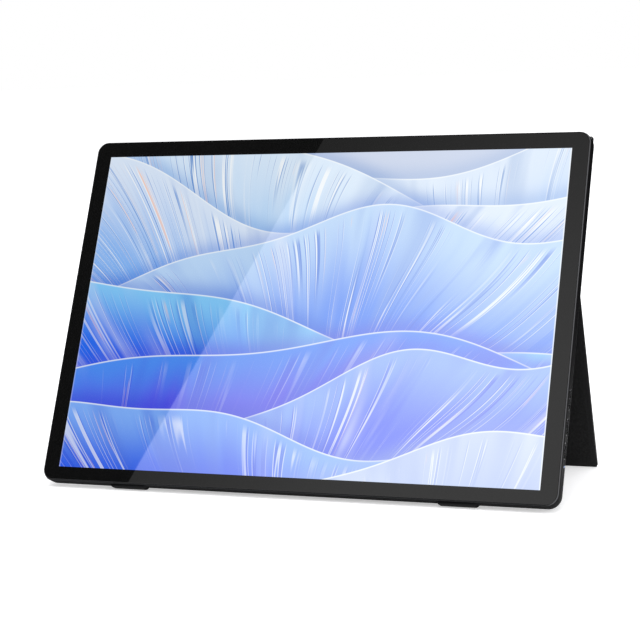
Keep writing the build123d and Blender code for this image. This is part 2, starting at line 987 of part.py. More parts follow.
def fixed_bracket(x):
    """A steel plate screwed to the rear shell, with a knuckle at each end of the hinge."""
    half = hinge_length / 2
    back = body_depth + stand_gap + bracket_thick
    low = hinge_up + half_plate + hinge_gap
    plate = block(x - bracket_half, x + bracket_half, body_depth, back,
                  low, hinge_up + bracket_reach)
    for left in (x - half, x + half - knuckle_length):
        right = left + knuckle_length
        plate += hinge_rod(half_plate, left, right)
        inner = max(left, x - bracket_half)
        outer = min(right, x + bracket_half)
        plate += block(inner, outer, hinge_y - half_plate, back, hinge_up, low)
    plate -= hinge_rod(hinge_pin_radius + tiny / 5, x - half, x + half)
    for screw_x, z in hinge_screw_places():
        plate -= upright_rod(screw_radius + fit_gap, screw_x, z, 0, hinge_y)
    return plate


def hinge_brackets():
    return group([fixed_bracket(side * hinge_place) for side in (-1, 1)])


def hinge_pins():
    half = hinge_length / 2
    return group([hinge_rod(hinge_pin_radius, side * hinge_place - half, side * hinge_place + half)
                  for side in (-1, 1)])


def moving_half():
    """Half the moving knuckle's length, between the washers."""
    return hinge_length / 2 - knuckle_length - washer_thick - 2 * tiny


def friction_washers():
    washers = []
    for side in (-1, 1):
        for end in (-1, 1):
            middle = moving_half() + tiny + washer_thick / 2
            x = side * hinge_place + end * middle
            left, right = x - washer_thick / 2, x + washer_thick / 2
            ring = hinge_rod(half_plate - fit_gap, left, right)
            washers.append(ring - hinge_rod(hinge_pin_radius + running_gap, left, right))
    return group(washers)


def hinge_screws():
    screws = []
    face = body_depth + stand_gap + bracket_thick
    for x, z in hinge_screw_places():
        head = upright_rod(screw_head_radius, x, z, face, face + screw_head_thick)
        shank = upright_rod(screw_radius - tiny / 5, x, z, board_back + fit_gap, face)
        screws.append(cross_slot(head + shank, x, z, face + screw_head_thick, 1))
    return group(screws)


def closing_plates():
    """Steel strips inside the rear shell that the leaf's magnets hold to."""
    z = hinge_up - magnet_drop()
    half = magnet_length / 2
    return group([block(x - half, x + half, shell_front - screw_head_thick, shell_front,
                        z - magnet_width / 2, z + magnet_width / 2)
                  for x in (-magnet_place, magnet_place)])


# The folding leaf, built closed, hanging straight down from the hinge


def leaf_solid(inset):
    """The leaf with its rounded top edge on the hinge, drawn in by an inset all round."""
    radius = half_plate - inset
    bottom = hinge_up - leaf_length + inset
    half = plate_half - inset
    corner = plate_corner - inset
    height = hinge_up - bottom
    lower = Pos(0, bottom + height / 2) * Rectangle(2 * half, height)
    lower = fillet(lower.vertices().group_by(Axis.Y)[0], corner)
    body = slab(lower, hinge_y - radius, hinge_y + radius)
    return body + hinge_rod(radius, -half, half)


def leaf_notches():
    """The room in the leaf's top edge for the knuckles of both hinges."""
    half = hinge_length / 2 + hinge_gap
    deep = half_plate + 2 * hinge_gap
    return [block(side * hinge_place - half, side * hinge_place + half,
                  hinge_y - 2 * half_plate, hinge_y + 2 * half_plate,
                  hinge_up - deep, hinge_up + 2 * half_plate) for side in (-1, 1)]


def leaf_bracket_box(x, gap):
    """The flat of a moving bracket, on the body's side of the leaf's core."""
    front = hinge_y - half_plate + skin_thick
    half = moving_half() + gap
    top = hinge_up if gap == 0 else hinge_up + half_plate
    return block(x - half, x + half, front - gap, front + bracket_thick + gap,
                 hinge_up - bracket_reach - gap, top)


def leaf_brackets():
    pieces = []
    for side in (-1, 1):
        x = side * hinge_place
        half = moving_half()
        bracket = leaf_bracket_box(x, 0) + hinge_rod(half_plate, x - half, x + half)
        bracket -= hinge_rod(hinge_pin_radius + running_gap, x - half, x + half)
        for screw_x, z in leaf_screw_places():
            bracket -= upright_rod(screw_radius, screw_x, z, 0, body_depth + 2 * plate_thick)
        pieces.append(bracket)
    return group(pieces)


def leaf_screw_places():
    return [(side * hinge_place + step * moving_half() / 2, hinge_up - leaf_screw_down)
            for side in (-1, 1) for step in (-1, 1)]


def leaf_screws():
    """Short rivets with flat heads that hold the moving brackets to the leaf's core."""
    front = hinge_y - half_plate + skin_thick
    back = hinge_y + half_plate - skin_thick
    return group([upright_rod(screw_radius - tiny / 5, x, z, front, back)
                  for x, z in leaf_screw_places()])


def magnet_drop():
    """How far below the hinge the leaf's magnets sit."""
    return leaf_length - magnet_up


def magnet_boxes(gap):
    z = hinge_up - magnet_drop()
    half = magnet_length / 2 + gap
    wide = magnet_width / 2 + gap
    deep = magnet_thick / 2
    return [block(x - half, x + half, hinge_y - deep, hinge_y + deep, z - wide, z + wide)
            for x in (-magnet_place, magnet_place)]


def grip_box(gap):
    """The rubber strip in the leaf's bottom edge, long enough to be cut by the floor."""
    half = plate_half - grip_inset + gap
    deep = grip_thick / 2 + gap
    bottom = hinge_up - leaf_reach - grip_thick
    top = hinge_up - leaf_length + grip_depth + gap
    return block(-half, half, hinge_y - deep, hinge_y + deep, bottom, top)


def leaf_core():
    core = leaf_solid(skin_thick)
    for cut in leaf_notches() + magnet_boxes(tiny) + [grip_box(tiny)]:
        core -= cut
    for side in (-1, 1):
        core -= leaf_bracket_box(side * hinge_place, tiny)
    for x, z in leaf_screw_places():
        core -= upright_rod(screw_radius, x, z, 0, body_depth + 2 * plate_thick)
    return core


def leaf_lining_area():
    """The inner skin's shape, inside the edge that the outer skin is turned over."""
    bottom = hinge_up - leaf_length + turned_edge
    top = hinge_up - half_plate - turned_edge
    half = plate_half - turned_edge
    shape = RectangleRounded(2 * half, top - bottom, plate_corner)
    return Pos(0, (bottom + top) / 2) * shape


def leaf_inner_skin():
    front = hinge_y - half_plate
    return slab(leaf_lining_area(), front, front + skin_thick)


def leaf_outer_skin():
    """The skin over the leaf's outer face, round its edges and turned onto its inner face."""
    skin = leaf_solid(0) - leaf_solid(skin_thick)
    front = hinge_y - half_plate
    skin -= slab(leaf_lining_area(), front, front + skin_thick)
    for cut in leaf_notches() + [grip_box(tiny)]:
        skin -= cut
    for side in (-1, 1):
        skin -= leaf_bracket_box(side * hinge_place, tiny)
    return skin


def display_nodes():
    """Every node that stays with the screen."""
    return {
        "cover_glass": cover_glass(),
        "border_mask": border_mask(),
        "optical_adhesive": optical_adhesive(),
        "glass_gasket": glass_gasket(),
        "polarisers": polarisers(),
        "lcd_cell": lcd_cell(),
        "driver_chips": driver_chips(),
        "panel_foil": panel_foil(),
        "diffuser_film": film(film_front, film_thick),
        "prism_films": prism_films(),
        "light_guide": film(guide_front, guide_thick),
        "reflector_sheet": film(reflector_front, reflector_thick),
        "led_strip": led_strip(),
        "panel_frame": panel_frame(),
        "panel_tray": panel_tray(),
        "panel_board": panel_board(),
        "panel_board_parts": panel_board_parts(),
        "side_frame": side_frame(),
        "rear_shell": rear_shell(),
        "case_screws": case_screws(),
        "main_board": main_board(),
        "board_screws": board_screws(),
        "processor_chip": processor_chip(),
        "shield_can": shield_can(),
        "thermal_pads": thermal_pads(),
        "board_parts": board_parts(),
        "display_cable": display_cable(),
        "hdmi_shell": socket_shell(hdmi_shape, hdmi_up),
        "hdmi_tongue": socket_tongue(hdmi_shape, hdmi_up, hdmi_tongue_width,
                                     hdmi_tongue_thick),
        "usb_shell_upper": socket_shell(usb_shape, usb_upper_up),
        "usb_shell_lower": socket_shell(usb_shape, usb_lower_up),
        "usb_tongues": usb_tongues(),
        "status_light": status_light(),
        "key_board": key_board(),
        "key_switches": key_switches(),
        "key_cable": key_cable(),
        "rocker_pin": rocker_pin(),
        "speaker_right": speaker(),
        "speaker_left": mirrored(speaker()),
        "speaker_wires": speaker_wires(),
        "foot_left": foot(-foot_place),
        "foot_right": foot(foot_place),
        "closing_plates": closing_plates(),
        "plate_core": plate_core(),
        "plate_skin": plate_skin(),
        "plate_tape": plate_tape(),
        "hinge_brackets": hinge_brackets(),
        "hinge_pins": hinge_pins(),
        "friction_washers": friction_washers(),
        "hinge_screws": hinge_screws(),
    }


def leaf_nodes():
    """Every node that swings with the leaf, turned out to its standing angle."""
    pieces = {
        "leaf_core": leaf_core(),
        "leaf_outer_skin": leaf_outer_skin(),
        "leaf_inner_skin": leaf_inner_skin(),
        "leaf_brackets": leaf_brackets(),
        "leaf_screws": leaf_screws(),
        "leaf_magnets": group(magnet_boxes(0)),
        "leaf_grip_strip": grip_box(0),
    }
    return {name: swing(leaf_open) * piece for name, piece in pieces.items()}


bodies = {
    "display": display_nodes(),
    "power_key": {"power_key": power_key()},
    "menu_rocker": {"menu_rocker": menu_rocker()},
    "leaf": leaf_nodes(),
}

# Lean everything back onto the floor, and trim the feet and the grip strip level with it
stand_up = Pos(0, 0, -floor_level) * Rot(-lean, 0, 0)
under_floor = block(-body_width, body_width, -body_height, 2 * body_height, -body_height, 0)
touching = ("foot_left", "foot_right", "leaf_grip_strip")
nodes = {}
for pieces in bodies.values():
    for name, piece in pieces.items():
        leaned = stand_up * piece
        nodes[name] = leaned - under_floor if name in touching else leaned

# The origin is on the floor, under the middle of everything
outer = [nodes[name].bounding_box() for name in ("side_frame", "rear_shell", "power_key",
                                                 "plate_skin", "leaf_outer_skin", "foot_left")]
middle_x = (min(box.min.X for box in outer) + max(box.max.X for box in outer)) / 2
middle_y = (min(box.min.Y for box in outer) + max(box.max.Y for box in outer)) / 2
to_origin = Pos(-middle_x, -middle_y, 0)


def placed(point):
    """Where a point of the upright model ends up in the part's own frame."""
    return (to_origin * stand_up * Pos(*point)).position


os.makedirs("parts", exist_ok=True)
for name, piece in nodes.items():
    export_step(to_origin * piece, f"parts/{name}.step")
print(f"{len(nodes)} nodes, lean {lean:.2f} degrees, stand open {leaf_open:.1f} degrees")
print("hinge", placed((0, hinge_y, hinge_up)))
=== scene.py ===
# %% [markdown]
# # A portable monitor on its folding stand
# The real object is a thin screen in a shallow metal body. It leans back on two rubber feet and on
# a leaf that folds out of a plate bonded to its back. Its frame, joints and fits come from the CAD
# model, so this lesson only dresses it: glass, a lit picture, coated metal, grained skin, rubber.
# The first step loads the imported model.

# %% Load the frame
import json
import math

import bmesh
import bpy
from mathutils import Matrix, Vector

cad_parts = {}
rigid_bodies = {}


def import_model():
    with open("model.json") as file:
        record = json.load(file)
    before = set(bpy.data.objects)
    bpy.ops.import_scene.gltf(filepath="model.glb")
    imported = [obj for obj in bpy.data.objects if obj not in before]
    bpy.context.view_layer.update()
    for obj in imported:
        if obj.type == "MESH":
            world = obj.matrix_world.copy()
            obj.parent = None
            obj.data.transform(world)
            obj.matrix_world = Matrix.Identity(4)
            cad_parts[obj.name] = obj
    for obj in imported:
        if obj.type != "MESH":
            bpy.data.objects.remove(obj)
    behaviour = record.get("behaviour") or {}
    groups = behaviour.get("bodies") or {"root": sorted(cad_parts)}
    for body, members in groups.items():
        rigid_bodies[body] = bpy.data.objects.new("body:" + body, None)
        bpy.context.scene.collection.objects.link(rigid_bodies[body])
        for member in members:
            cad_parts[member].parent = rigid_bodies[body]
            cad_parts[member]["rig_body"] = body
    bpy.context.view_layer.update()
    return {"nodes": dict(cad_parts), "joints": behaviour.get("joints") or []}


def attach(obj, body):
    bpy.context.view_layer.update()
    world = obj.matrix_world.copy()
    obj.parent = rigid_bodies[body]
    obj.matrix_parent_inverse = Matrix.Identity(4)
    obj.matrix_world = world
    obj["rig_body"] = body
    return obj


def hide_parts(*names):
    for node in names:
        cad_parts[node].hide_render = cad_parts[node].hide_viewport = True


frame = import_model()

nodes = frame["nodes"]
joints = {joint["name"]: joint for joint in frame["joints"]}
MM = 0.001
print("CAD nodes:", len(nodes), "joints:", sorted(joints))

# %% [markdown]
# ## The screen's own directions
# Almost everything on this object is square to the screen, and the screen leans back. The menu
# rocker turns about an axis that is square to the glass, so the frame already tells the lean. From
# that axis come three directions: right, back (from the glass to the shell) and up the screen.
# The printed border gives the lit area: its opening's corners are its vertices nearest the middle.

# %% Directions and the lit area
right = Vector((1, 0, 0))
back = Vector(joints["menu_tilt"]["axis"]).normalized()
up = right.cross(back)
lean = math.asin(-back.z)
corner_slack = 1.015


def in_screen(across, deep, high):
    """A direction given in the screen's directions."""
    return right * across + back * deep + up * high


def along(node, direction):
    """How far a CAD node reaches along a direction, as lowest and highest."""
    places = [vertex.co.dot(direction) for vertex in nodes[node].data.vertices]
    return min(places), max(places)


def half_of(node):
    """Half of a CAD node's width."""
    low, high = along(node, right)
    return (high - low) / 2


def lit_area():
    """The middle of the lit area's bottom edge on the glass's front, its half width and height."""
    middle_x, middle_z = (sum(along("border_mask", direction)) / 2 for direction in (right, up))
    places = [(vertex.co.dot(right) - middle_x, vertex.co.dot(up) - middle_z)
              for vertex in nodes["border_mask"].data.vertices]
    nearest = min(math.hypot(*place) for place in places)
    inner = [place for place in places if math.hypot(*place) < nearest * corner_slack]
    low, high = (limit(z for x, z in inner) for limit in (min, max))
    start = in_screen(middle_x, along("cover_glass", back)[0], middle_z + low)
    return start, max(x for x, z in inner), high - low


lit_start, lit_half, lit_height = lit_area()


def spot(across, deep, high):
    """A point given in the screen's directions, from the middle of the lit area's bottom edge."""
    return lit_start + in_screen(across, deep, high)


def place_of(point):
    """A point in the screen's directions: across, deep and high."""
    moved = point - lit_start
    return moved.dot(right), moved.dot(back), moved.dot(up)


def span(node, direction):
    """How far a CAD node reaches along one of the screen's directions, from the same start."""
    return [value - lit_start.dot(direction) for value in along(node, direction)]


print("lean", round(math.degrees(lean), 2), "lit area", round(2 * lit_half / MM, 2),
      "x", round(lit_height / MM, 2), "mm, start", [round(c / MM, 2) for c in lit_start])

# %% [markdown]
# ## The camera
# The photograph was taken from the right of the screen and a little above it, with the camera
# rolled. Its place was worked out from the four corners of the lit area, whose real size is
# known, and it is written here in the screen's own directions. The long lens keeps the gentle
# perspective of the photograph, and a small shift puts the object where it is in the frame.

# %% Camera
camera_across = 406.0 * MM
camera_front = 915.3 * MM
camera_low = -184.9 * MM
camera_turn = math.radians(22.77)
camera_rise = math.radians(16.49)
camera_roll = math.radians(7.28)
lens_pixels = 1859.4
image_width = 640
picture_middle = (348.5, 287.6)
sensor_width = 36.0


def new_object(name, data):
    """An object that holds the data, in the scene."""
    made = bpy.data.objects.new(name, data)
    bpy.context.scene.collection.objects.link(made)
    return made


camera_data = bpy.data.cameras.new("camera")
camera = new_object("camera", camera_data)
camera_data.sensor_fit = "HORIZONTAL"
camera_data.sensor_width = sensor_width
camera_data.lens = lens_pixels / image_width * sensor_width
camera_data.shift_x = (image_width / 2 - picture_middle[0]) / image_width
camera_data.shift_y = (picture_middle[1] - image_width / 2) / image_width

forward = in_screen(-math.sin(camera_turn) * math.cos(camera_rise),
                    math.cos(camera_turn) * math.cos(camera_rise), math.sin(camera_rise))
level = in_screen(math.cos(camera_turn), math.sin(camera_turn), 0)
upright = level.cross(forward)
camera_right = level * math.cos(camera_roll) + upright * math.sin(camera_roll)
camera_up = upright * math.cos(camera_roll) - level * math.sin(camera_roll)
camera_spot = spot(camera_across, -camera_front, camera_low)
turn = Matrix((camera_right, camera_up, -forward)).transposed().to_4x4()
camera.matrix_world = Matrix.Translation(camera_spot) @ turn
bpy.context.scene.camera = camera
bpy.context.scene.view_settings.view_transform = "Standard"
print("camera", [round(c, 3) for c in camera_spot], "lens", round(camera_data.lens, 2))

# %% [markdown]
# ## Helpers for nodes
# Every finish below is a node tree, so small helpers keep the cells short. Each adds a node to the
# tree that its inputs come from, fills them, and gives back an output. Colours are written as they
# look in a picture, from 0 to 255, and turned into the linear values that the shader wants.

# %% Node helpers
finishes = {}
socket_kinds = {"Place": "NodeSocketVector", "Count": "NodeSocketInt",
                "Finish": "NodeSocketMaterial", "Mesh": "NodeSocketGeometry",
                **dict.fromkeys(("Colour", "Near", "Far", "Shade"), "NodeSocketColor")}


def tone(red, green, blue):
    """A colour as seen in a picture, 0 to 255, as linear red, green, blue and alpha."""
    values = []
    for value in (red, green, blue):
        share = value / 255
        values.append(share / 12.92 if share <= 0.04045 else ((share + 0.055) / 1.055) ** 2.4)
    return (*values, 1.0)


def fill(node, inputs):
    """Give a node's inputs their values, or link other nodes' outputs to them."""
    for key, value in inputs.items():
        if isinstance(value, bpy.types.NodeSocket):
            node.id_data.links.new(value, node.inputs[key])
        else:
            node.inputs[key].default_value = value


def add(kind, inputs, **settings):
    """Add a node to the tree that its inputs come from, set its settings and fill its inputs."""
    linked = [value for value in inputs.values() if isinstance(value, bpy.types.NodeSocket)]
    made = linked[0].id_data.nodes.new(kind)
    for name, value in settings.items():
        setattr(made, name, value)
    fill(made, inputs)
    return made


def calc(operation, *values):
    """One sum: the output of a Math node."""
    return add("ShaderNodeMath", dict(enumerate(values)), operation=operation).outputs[0]


def times(first, *others):
    """Several values multiplied."""
    for other in others:
        first = calc("MULTIPLY", first, other)
    return first


def plus(first, *others):
    """Several values added."""
    for other in others:
        first = calc("ADD", first, other)
    return first


def vector(operation, first, second):
    """One sum of two vectors."""
    return add("ShaderNodeVectorMath", {0: first, 1: second}, operation=operation).outputs[0]


def split(place):
    """The X, Y and Z of a vector."""
    return add("ShaderNodeSeparateXYZ", {0: place}).outputs


def between(share, first, second):
    """Two values mixed by a share."""
    return add("ShaderNodeMix", {0: share, 2: first, 3: second}, data_type="FLOAT").outputs[0]


def blend(share, first, second):
    """Two colours mixed by a share."""
    return add("ShaderNodeMix", {0: share, 6: first, 7: second}, data_type="RGBA").outputs[2]


def layers(colour, *rows):
    """A colour with others laid over it, each given as a share and a colour."""
    for share, over in rows:
        colour = blend(share, colour, over)
    return colour


def ramp(value, start, end, low=0.0, high=1.0):
    """A value taken smoothly from one span to another, level outside it."""
    return add("ShaderNodeMapRange", {0: value, 1: start, 2: end, 3: low, 4: high},
               interpolation_type="SMOOTHSTEP").outputs[0]


def noise(place, scale, detail=3.0, roughness=0.5, distortion=0.0):
    """A soft random field from 0 to 1."""
    inputs = {"Vector": place, "Scale": scale, "Detail": detail, "Roughness": roughness,
              "Distortion": distortion}
    return add("ShaderNodeTexNoise", inputs).outputs["Fac"]


def bump(height, distance, strength=1.0):
    """A normal that follows a height; the distance is what the full height stands for."""
    inputs = {"Height": height, "Distance": distance, "Strength": strength}
    return add("ShaderNodeBump", inputs).outputs[0]


def new_group(name, takes, gives, kind="ShaderNodeTree"):
    """A node group with named inputs, their first values and named outputs, and its two ends."""
    tree = bpy.data.node_groups.new(name, kind)
    for side, labels in (("INPUT", takes), ("OUTPUT", gives)):
        for label in labels:
            kind_of = socket_kinds.get(label, "NodeSocketFloat")
            made = tree.interface.new_socket(name=label, in_out=side, socket_type=kind_of)
            if side == "INPUT" and takes[label] is not None:
                made.default_value = takes[label]
    return tree, tree.nodes.new("NodeGroupInput").outputs, tree.nodes.new("NodeGroupOutput")


def use(group, **inputs):
    """Place a node group, fill its inputs and give its outputs."""
    return add("ShaderNodeGroup", inputs, node_tree=group).outputs


def new_finish(name):
    """A new material, kept by its name: its Principled shader and its Object coordinates."""
    finishes[name] = bpy.data.materials.new(name)
    finishes[name].use_nodes = True
    tree = finishes[name].node_tree
    return tree.nodes["Principled BSDF"], tree.nodes.new("ShaderNodeTexCoord").outputs["Object"]


print("white as written:", tone(255, 255, 255))

# %% [markdown]
# ## Shared effects
# A few effects come back on many finishes, so each is a node group: the turn into the screen's own
# directions, a fine grain like blasted or moulded surfaces have, the pebbled grain of thin skin,
# the drawn lines of rolled or brushed metal, and the dust and finger marks of handling. Groups put
# out only masks and heights. The shader and its gloss stay in each material.

# %% Screen directions group
screen_place, given, outs = new_group("screen_place", {"Place": None}, ["Place"])
origin = [-lit_start.dot(direction) for direction in (right, back, up)]
turned = add("ShaderNodeMapping", {"Vector": given["Place"], "Location": origin,
                                   "Rotation": (lean, 0, 0)})
fill(outs, {"Place": turned.outputs[0]})
print("screen directions turn by", round(math.degrees(lean), 2), "degrees")

# %% Grain groups
tree, given, outs = new_group("fine_grain", {"Place": None, "Size": 0.4 * MM},
                              ["Height", "Patches"])
per_metre = calc("DIVIDE", 1.0, given["Size"])
fill(outs, {"Height": noise(given["Place"], per_metre, 4, 0.65),
            "Patches": noise(given["Place"], 45.0, 3, 0.55)})
fine_grain = tree

tree, given, outs = new_group("skin_grain", {"Place": None, "Size": 0.7 * MM},
                              ["Height", "Pebbles", "Patches"])
place = given["Place"]
per_metre = calc("DIVIDE", 1.0, given["Size"])
wander = add("ShaderNodeTexNoise", {"Vector": place, "Scale": 900.0, "Detail": 2.0})
bent = vector("MULTIPLY", wander.outputs["Color"], (0.5 * MM,) * 3)
moved = vector("ADD", place, bent)
creases, pebbles = (add("ShaderNodeTexVoronoi", {"Vector": moved, "Scale": per_metre},
                        feature=feature).outputs for feature in ("DISTANCE_TO_EDGE", "F1"))
dome = ramp(creases["Distance"], 0.0, 0.22)
fuzz = times(noise(place, 6000.0, 2), 0.25)
fill(outs, {"Height": plus(dome, fuzz), "Pebbles": pebbles["Color"],
            "Patches": noise(place, 30.0, 4)})
skin_grain = tree

tree, given, outs = new_group("drawn_lines", {"Place": None, "Across": 9000.0, "Along": 120.0},
                              ["Lines"])
stretch = add("ShaderNodeCombineXYZ", {0: given["Along"], 1: given["Across"],
                                       2: given["Across"]}).outputs[0]
scaled = vector("MULTIPLY", given["Place"], stretch)
fill(outs, {"Lines": noise(scaled, 1.0, 3, 0.6)})
drawn_lines = tree

tree, given, outs = new_group("handling", {"Place": None, "Amount": 0.3}, ["Smudge", "Dust"])
wiped = ramp(noise(given["Place"], 28.0, 5, 0.6, 0.8), 0.48, 0.75)
specks = ramp(noise(given["Place"], 2600.0, 1), 0.76, 0.80)
fill(outs, {"Smudge": times(wiped, given["Amount"]), "Dust": times(specks, given["Amount"])})
handling = tree
print("effects:", [group.name for group in bpy.data.node_groups])

# %% [markdown]
# ## Glass
# The front is one sheet of glass with the border printed on its back and the screen bonded behind,
# so no air lies between them and there is only one reflection, at the front. It could be made as
# clear glass over a print and a lit sheet, but then most of each pixel's samples pass through, few
# catch the reflection, and it stays grainy. So the sheet carries print and picture in its own
# finish, under a clear gloss. Its edge is ground round: it is built from rings of a rounded
# rectangle, drawn in along a quarter circle at the front.

# %% Rounded sheet
corner_steps = 10
edge_steps = 4
glass_corner = 6.2 * MM
glass_edge = 0.3 * MM
glass_shading_limit = math.radians(50)


def rounded_ring(half_width, low, high, corner):
    """Points of a rounded rectangle in the screen's directions, anticlockwise from the front."""
    centres = [(half_width - corner, high - corner), (-half_width + corner, high - corner),
               (-half_width + corner, low + corner), (half_width - corner, low + corner)]
    ring = []
    for quarter, (x, z) in enumerate(centres):
        for step in range(corner_steps + 1):
            angle = math.pi / 2 * (quarter + step / corner_steps)
            ring.append((x + corner * math.cos(angle), z + corner * math.sin(angle)))
    return ring


def rounded_sheet(name, half_width, low, high, thick, corner, edge):
    """A sheet with a rounded outline, whose front edge is a quarter circle."""
    corners = []
    for step in range(edge_steps + 2):
        angle = math.pi / 2 * min(step / edge_steps, 1)
        inset = edge * (1 - math.sin(angle))
        deep = thick if step > edge_steps else edge * (1 - math.cos(angle))
        outline = rounded_ring(half_width - inset, low + inset, high - inset, corner - inset)
        corners += [spot(x, deep, z) for x, z in outline]
    count = len(outline)
    last = len(corners) - count
    faces = [tuple(reversed(range(count))), tuple(range(last, last + count))]
    for start in range(0, last, count):
        for place in range(start, start + count):
            after = start + (place + 1) % count
            faces.append((place, after, after + count, place + count))
    mesh = bpy.data.meshes.new(name)
    mesh.from_pydata([tuple(point) for point in corners], [], faces)
    mesh.shade_smooth()
    mesh.set_sharp_from_angle(angle=glass_shading_limit)
    for face in mesh.polygons[:2]:
        face.use_smooth = False
    work = bmesh.new()
    work.from_mesh(mesh)
    bmesh.ops.recalc_face_normals(work, faces=work.faces)
    work.to_mesh(mesh)
    work.free()
    return new_object(name, mesh)


glass_half = half_of("cover_glass")
glass_low, glass_high = span("cover_glass", up)
front_glass = rounded_sheet("front_glass", glass_half, glass_low, glass_high,
                            span("cover_glass", back)[1], glass_corner, glass_edge)
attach(front_glass, "display")
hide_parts("cover_glass")
print("glass", round(2 * glass_half / MM, 2), "x", round((glass_high - glass_low) / MM, 2), "mm")

# %% [markdown]
# ## The lit picture
# The screen shows a picture of this lesson's own: overlapping waves of thin silk, in blues. It
# could be built as a mesh, but a picture is flat, so it is all colour. One wave is a node group,
# because nine are needed.
# A wave's edge is a sum of two sines along the screen. The distance below the edge drives the
# mask, the colour that deepens, and the threads, which are drawn where a stretched noise crosses
# a level. Threads fan out from a point far below the edge, come in bundles, and a few are warm.

# %% One wave of silk
wave_words = ["Height", "Slope", "Swell", "Pitch", "Phase", "Fade", "Fan", "Reach", "Threads",
              "Crisp", "Near", "Far", "Shade"]


def thin_line(value, level, half):
    """1 where a smooth field crosses a level, which draws a thin line."""
    gap = calc("ABSOLUTE", calc("SUBTRACT", value, level))
    return ramp(gap, half, half * 0.25)


tree, given, outs = new_group("silk_wave", dict.fromkeys(["Place", *wave_words]),
                              ["Colour", "Mask", "Shadow"])
axes = split(given["Place"])
across = axes["X"]
turning = calc("MULTIPLY_ADD", across, given["Pitch"], given["Phase"])
second_sine = calc("SINE", calc("MULTIPLY_ADD", turning, 2.3, 1.1))
swell = calc("MULTIPLY_ADD", second_sine, 0.35, calc("SINE", turning))
edge = plus(given["Height"], times(across, given["Slope"]), times(swell, given["Swell"]))
below = calc("SUBTRACT", edge, axes["Z"])

# The threads fan out from a point far below the edge and bend a little on the way
room = calc("MAXIMUM", calc("SUBTRACT", given["Reach"], below), 0.08)
bend = calc("SINE", calc("MULTIPLY_ADD", below, 4.0, given["Phase"]))
fan = calc("DIVIDE", calc("SUBTRACT", across, given["Fan"]), room)
fan = plus(fan, times(bend, 0.10))
hang = add("ShaderNodeCombineXYZ", {0: times(fan, given["Threads"]), 1: times(below, 0.5),
                                    2: times(given["Phase"], 2.9)}).outputs[0]
threads = noise(hang, 1.0, 1.0)
bundle_place = vector("MULTIPLY", hang, (0.22, 3.0, 1.0))
bundles = times(ramp(noise(bundle_place, 1.0, 2), 0.40, 0.58),
                ramp(below, 0.012, 0.05), given["Crisp"])
warm = ramp(noise(bundle_place, 1.7, 1), 0.58, 0.62)

# Soft folds turn the silk to the light and away from it
folds = noise(vector("MULTIPLY", hang, (0.16, 2.0, 1.0)), 1.0, 2, 0.55, 0.4)
depth = plus(calc("DIVIDE", below, given["Fade"]), times(folds, 1.3), -0.65)
colour = blend(ramp(depth, 0.0, 1.0), given["Near"], given["Far"])
colour = layers(colour, (ramp(folds, 0.50, 0.30, 0.0, 0.45), given["Shade"]),
                (ramp(folds, 0.55, 0.78, 0.0, 0.55), tone(240, 248, 255)),
                (times(bundles, thin_line(threads, 0.53, 0.030)), given["Shade"]),
                (times(bundles, thin_line(threads, 0.49, 0.024)), tone(250, 253, 255)),
                (times(bundles, thin_line(threads, 0.44, 0.02), warm), tone(255, 206, 180)),
                (ramp(below, 0.0060, 0.0012, 0.0, 0.8), tone(247, 252, 255)))
fill(outs, {"Colour": colour, "Mask": ramp(below, -0.0012, 0.0012),
            "Shadow": calc("POWER", ramp(below, -0.085, 0.0), 2.0)})
silk_wave = tree
print("silk_wave has", len(tree.nodes), "nodes")

# %% [markdown]
# The waves are laid over each other from the top of the screen to its foot, and each throws a soft
# shadow on those behind. Each row of the table is one wave, measured in screen heights: where its
# edge starts at the left, how it slopes, swells and repeats, how soon its colour deepens, where its
# threads meet, how many there are and how plainly they show, and its three colours.

# %% The picture
shader, place = new_finish("clear_glass")
in_place = use(screen_place, Place=place)["Place"]
scaled = vector("MULTIPLY", in_place, (1 / lit_height,) * 3)
picture_place = vector("ADD", scaled, (lit_half / lit_height, 0, 0))
wave_shadow = 0.4
waves = [
    (0.70, 0.25, 0.05, 3.6, 0.2, 0.4, 1.5, 0.9, 40.0, 0.9,
     (220, 234, 251), (162, 198, 244), (128, 164, 216)),
    (1.10, -0.22, 0.06, 3.1, 0.4, 0.5, 0.75, 1.0, 38.0, 0.9,
     (222, 238, 254), (140, 196, 248), (92, 140, 206)),
    (0.93, -0.09, 0.10, 3.2, 2.5, 0.42, 0.55, 0.75, 36.0, 0.9,
     (222, 235, 252), (128, 180, 246), (104, 152, 220)),
    (0.64, 0.10, 0.08, 3.9, 4.6, 0.38, 0.9, 0.8, 34.0, 0.8,
     (190, 219, 251), (74, 136, 241), (72, 124, 220)),
    (0.55, -0.11, 0.05, 3.4, 1.0, 0.22, 0.9, 1.1, 34.0, 0.4,
     (132, 202, 249), (34, 104, 238), (30, 90, 210)),
    (0.36, -0.02, 0.085, 2.7, 5.3, 0.20, 0.7, 1.3, 34.0, 0.3,
     (76, 142, 244), (88, 76, 234), (70, 64, 218)),
    (0.00, 0.28, 0.075, 4.2, 3.9, 0.26, 0.6, 0.9, 34.0, 0.7,
     (138, 175, 246), (52, 90, 236), (52, 84, 222)),
    (0.16, -0.03, 0.055, 3.9, 0.7, 0.20, 0.9, 1.0, 30.0, 0.55,
     (128, 176, 250), (50, 98, 238), (40, 76, 216)),
    (-0.20, 0.23, 0.045, 4.4, 2.6, 0.3, 0.9, 0.9, 34.0, 0.6,
     (190, 206, 236), (156, 178, 230), (136, 162, 226)),
]
colour = blend(noise(picture_place, 1.2, 1), tone(198, 210, 234), tone(208, 218, 238))
